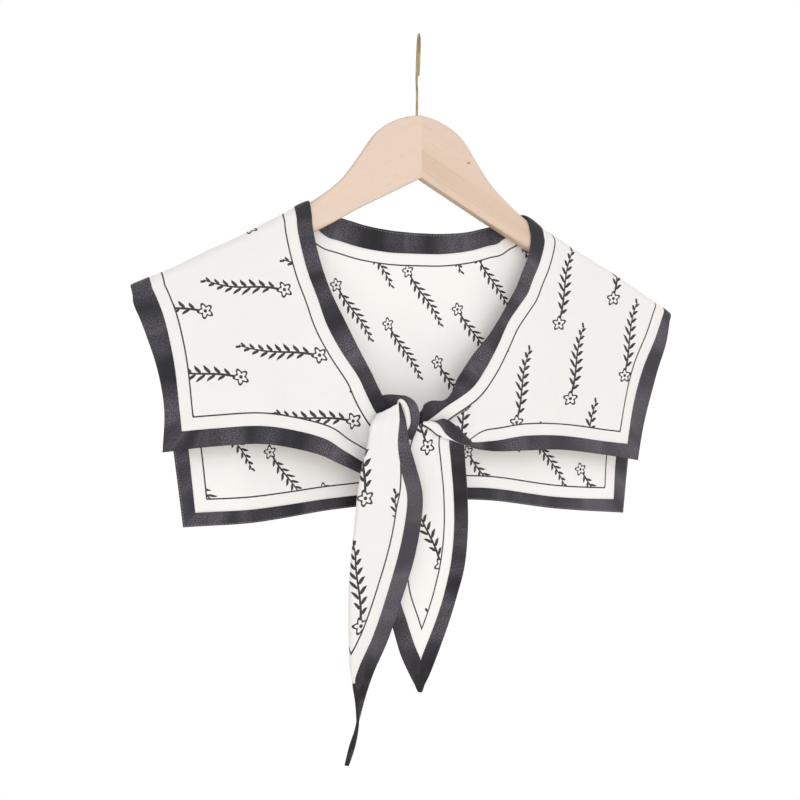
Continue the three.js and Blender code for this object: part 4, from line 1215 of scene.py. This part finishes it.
front_middle = folded(front_across)
at_tip = smooth_step(-front[:, 1], 486, 492)[:, None]
from_fold = np.minimum(front_across, whole_width[:, None] - front_across)
tip_half = TIP_HALF * rolled(from_fold, TIE_ROLL, 0.01)
front_half = tie_thickness(front_across, whole_width, reach, whole_width - rear_reach)
front_half = front_half * (1 - at_tip) + tip_half * at_tip
front_charts = {"band": np.stack([-front_middle[..., 2], front_across], axis=-1)[:, ::-1] / 1000}
front_band = cloth_wall("front_tie_band", front_middle[:, ::-1], front_half[:, ::-1], front_charts, black)
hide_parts("tie_end_left_border")

ivory_rows = int(np.argmax(front[:, 1] < IVORY_END))
cover = (slice(0, ivory_rows), slice(len(TIE_SHARES) - 1, front_across.shape[1] - len(TIE_SHARES) + 1))
cover_x = front_right[:ivory_rows, 0, None] - front_across[cover]
cover_z = np.broadcast_to(front[:ivory_rows, 1, None], cover_x.shape)
cover_seams = [np.stack([cover_x[:, at], cover_z[:, at]], axis=-1) for at in (0, -1)]
cover_charts = tie_charts(cover_x, cover_z, cover_seams, 90, (-57.5, -327))
# the print is a little larger here, and lies further over on the blade's lower half
cover_charts["print"][..., 1] += PRINT_SHIFT * smooth_step(-cover_z, 356, 398)
cover_charts["print"] /= PRINT_GROWTH
# towards the knot the printed line runs out under the bands
near_knot = smooth_step(cover_z, -365, -329)
cover_charts["seams"] = cover_charts["seams"] + LINE_INSET * np.stack([near_knot, 2 * near_knot], axis=-1)
cover_charts = {key: sheet[:, ::-1] for key, sheet in cover_charts.items()}
front_panel = cloth_wall("front_tie_panel", front_middle[cover][:, ::-1], PANEL_HALF, cover_charts, ivory)
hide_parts("tie_end_left")

front_lines = tie_lines(front_middle, front_half, (STITCHED_AT,), FRONT_STITCHED)
front_stitches = topstitch("front_tie_stitches", front_lines, needle_thread)


# The strap that goes over the knot: a narrow length of the same cloth that comes from behind the left
# front, arches over the top and goes down behind the front tie end, with its black band outside.

# outer x, y, z, inner x, y, z, share of the width that is black
KNOT_STRAP = [
    (-43, -14.6, -305, -30, -14.6, -307, 0.8),
    (-43, -15.4, -292, -31.5, -15.8, -299, 0.8),
    (-37.5, -17, -281, -31.5, -17.4, -292, 0.85),
    (-33.2, -21.4, -279.2, -27.5, -22.4, -290.5, 0.85),
    (-27, -26, -279.8, -25, -27.5, -289, 0.3),
    (-20.8, -28, -280.9, -24, -29.5, -291, 0.56),
    (-14.3, -28, -285.4, -23.5, -29.5, -294, 0.66),
    (-11.4, -27.5, -292.9, -23.5, -29.5, -298, 0.66),
    (-11.9, -27.5, -300.4, -23.5, -29.5, -302.5, 0.66),
    (-14.4, -27.5, -307.8, -25, -29.5, -307, 0.7),
    (-17.2, -27.5, -313, -26, -29.3, -312, 0.75),
]
KNOT_BAND_HALF = 0.9
LAPPED = 0.04

knot = smooth_curve(KNOT_STRAP, [ROWS_A_SECTION] * (len(KNOT_STRAP) - 1), even=True)
knot_outer, knot_inner, knot_black = knot[:, 0:3], knot[:, 3:6], knot[:, 6]
knot_width = np.linalg.norm(knot_inner - knot_outer, axis=1)[:, None]


def arched(share):
    middle = across_rows(knot_outer, knot_inner, share)
    roll = 1.5 * np.sin(math.pi * np.clip(share, 0, 1)) ** 0.8 + 0.25 * np.sin(share * 14)
    middle[..., 1] -= roll * smooth_step(knot_outer[:, 1], -14, -22)[:, None]
    return middle


band_share = spread(np.zeros(len(knot)), knot_black, 12)
from_edge = band_share * knot_width
length = np.broadcast_to(run_length(knot_outer)[:, None], band_share.shape)
knot_chart = np.stack([length, from_edge], axis=-1) / 1000
knot_half = KNOT_BAND_HALF * rolled(from_edge, TIE_ROLL, 0.02)
knot_band = cloth_wall("knot_strap_band", arched(band_share), knot_half, {"band": knot_chart}, black)
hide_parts("knot_wrap_border")

cloth_start = knot_black - LAPPED
cloth_share = spread(cloth_start, 1 - cloth_start, 8)
unprinted = np.zeros(cloth_share.shape + (2,))
knot_charts = {"print": unprinted, "seams": unprinted + 0.002}
knot_cloth = cloth_wall("knot_strap", arched(cloth_share), PANEL_HALF, knot_charts, ivory)
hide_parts("knot_wrap")
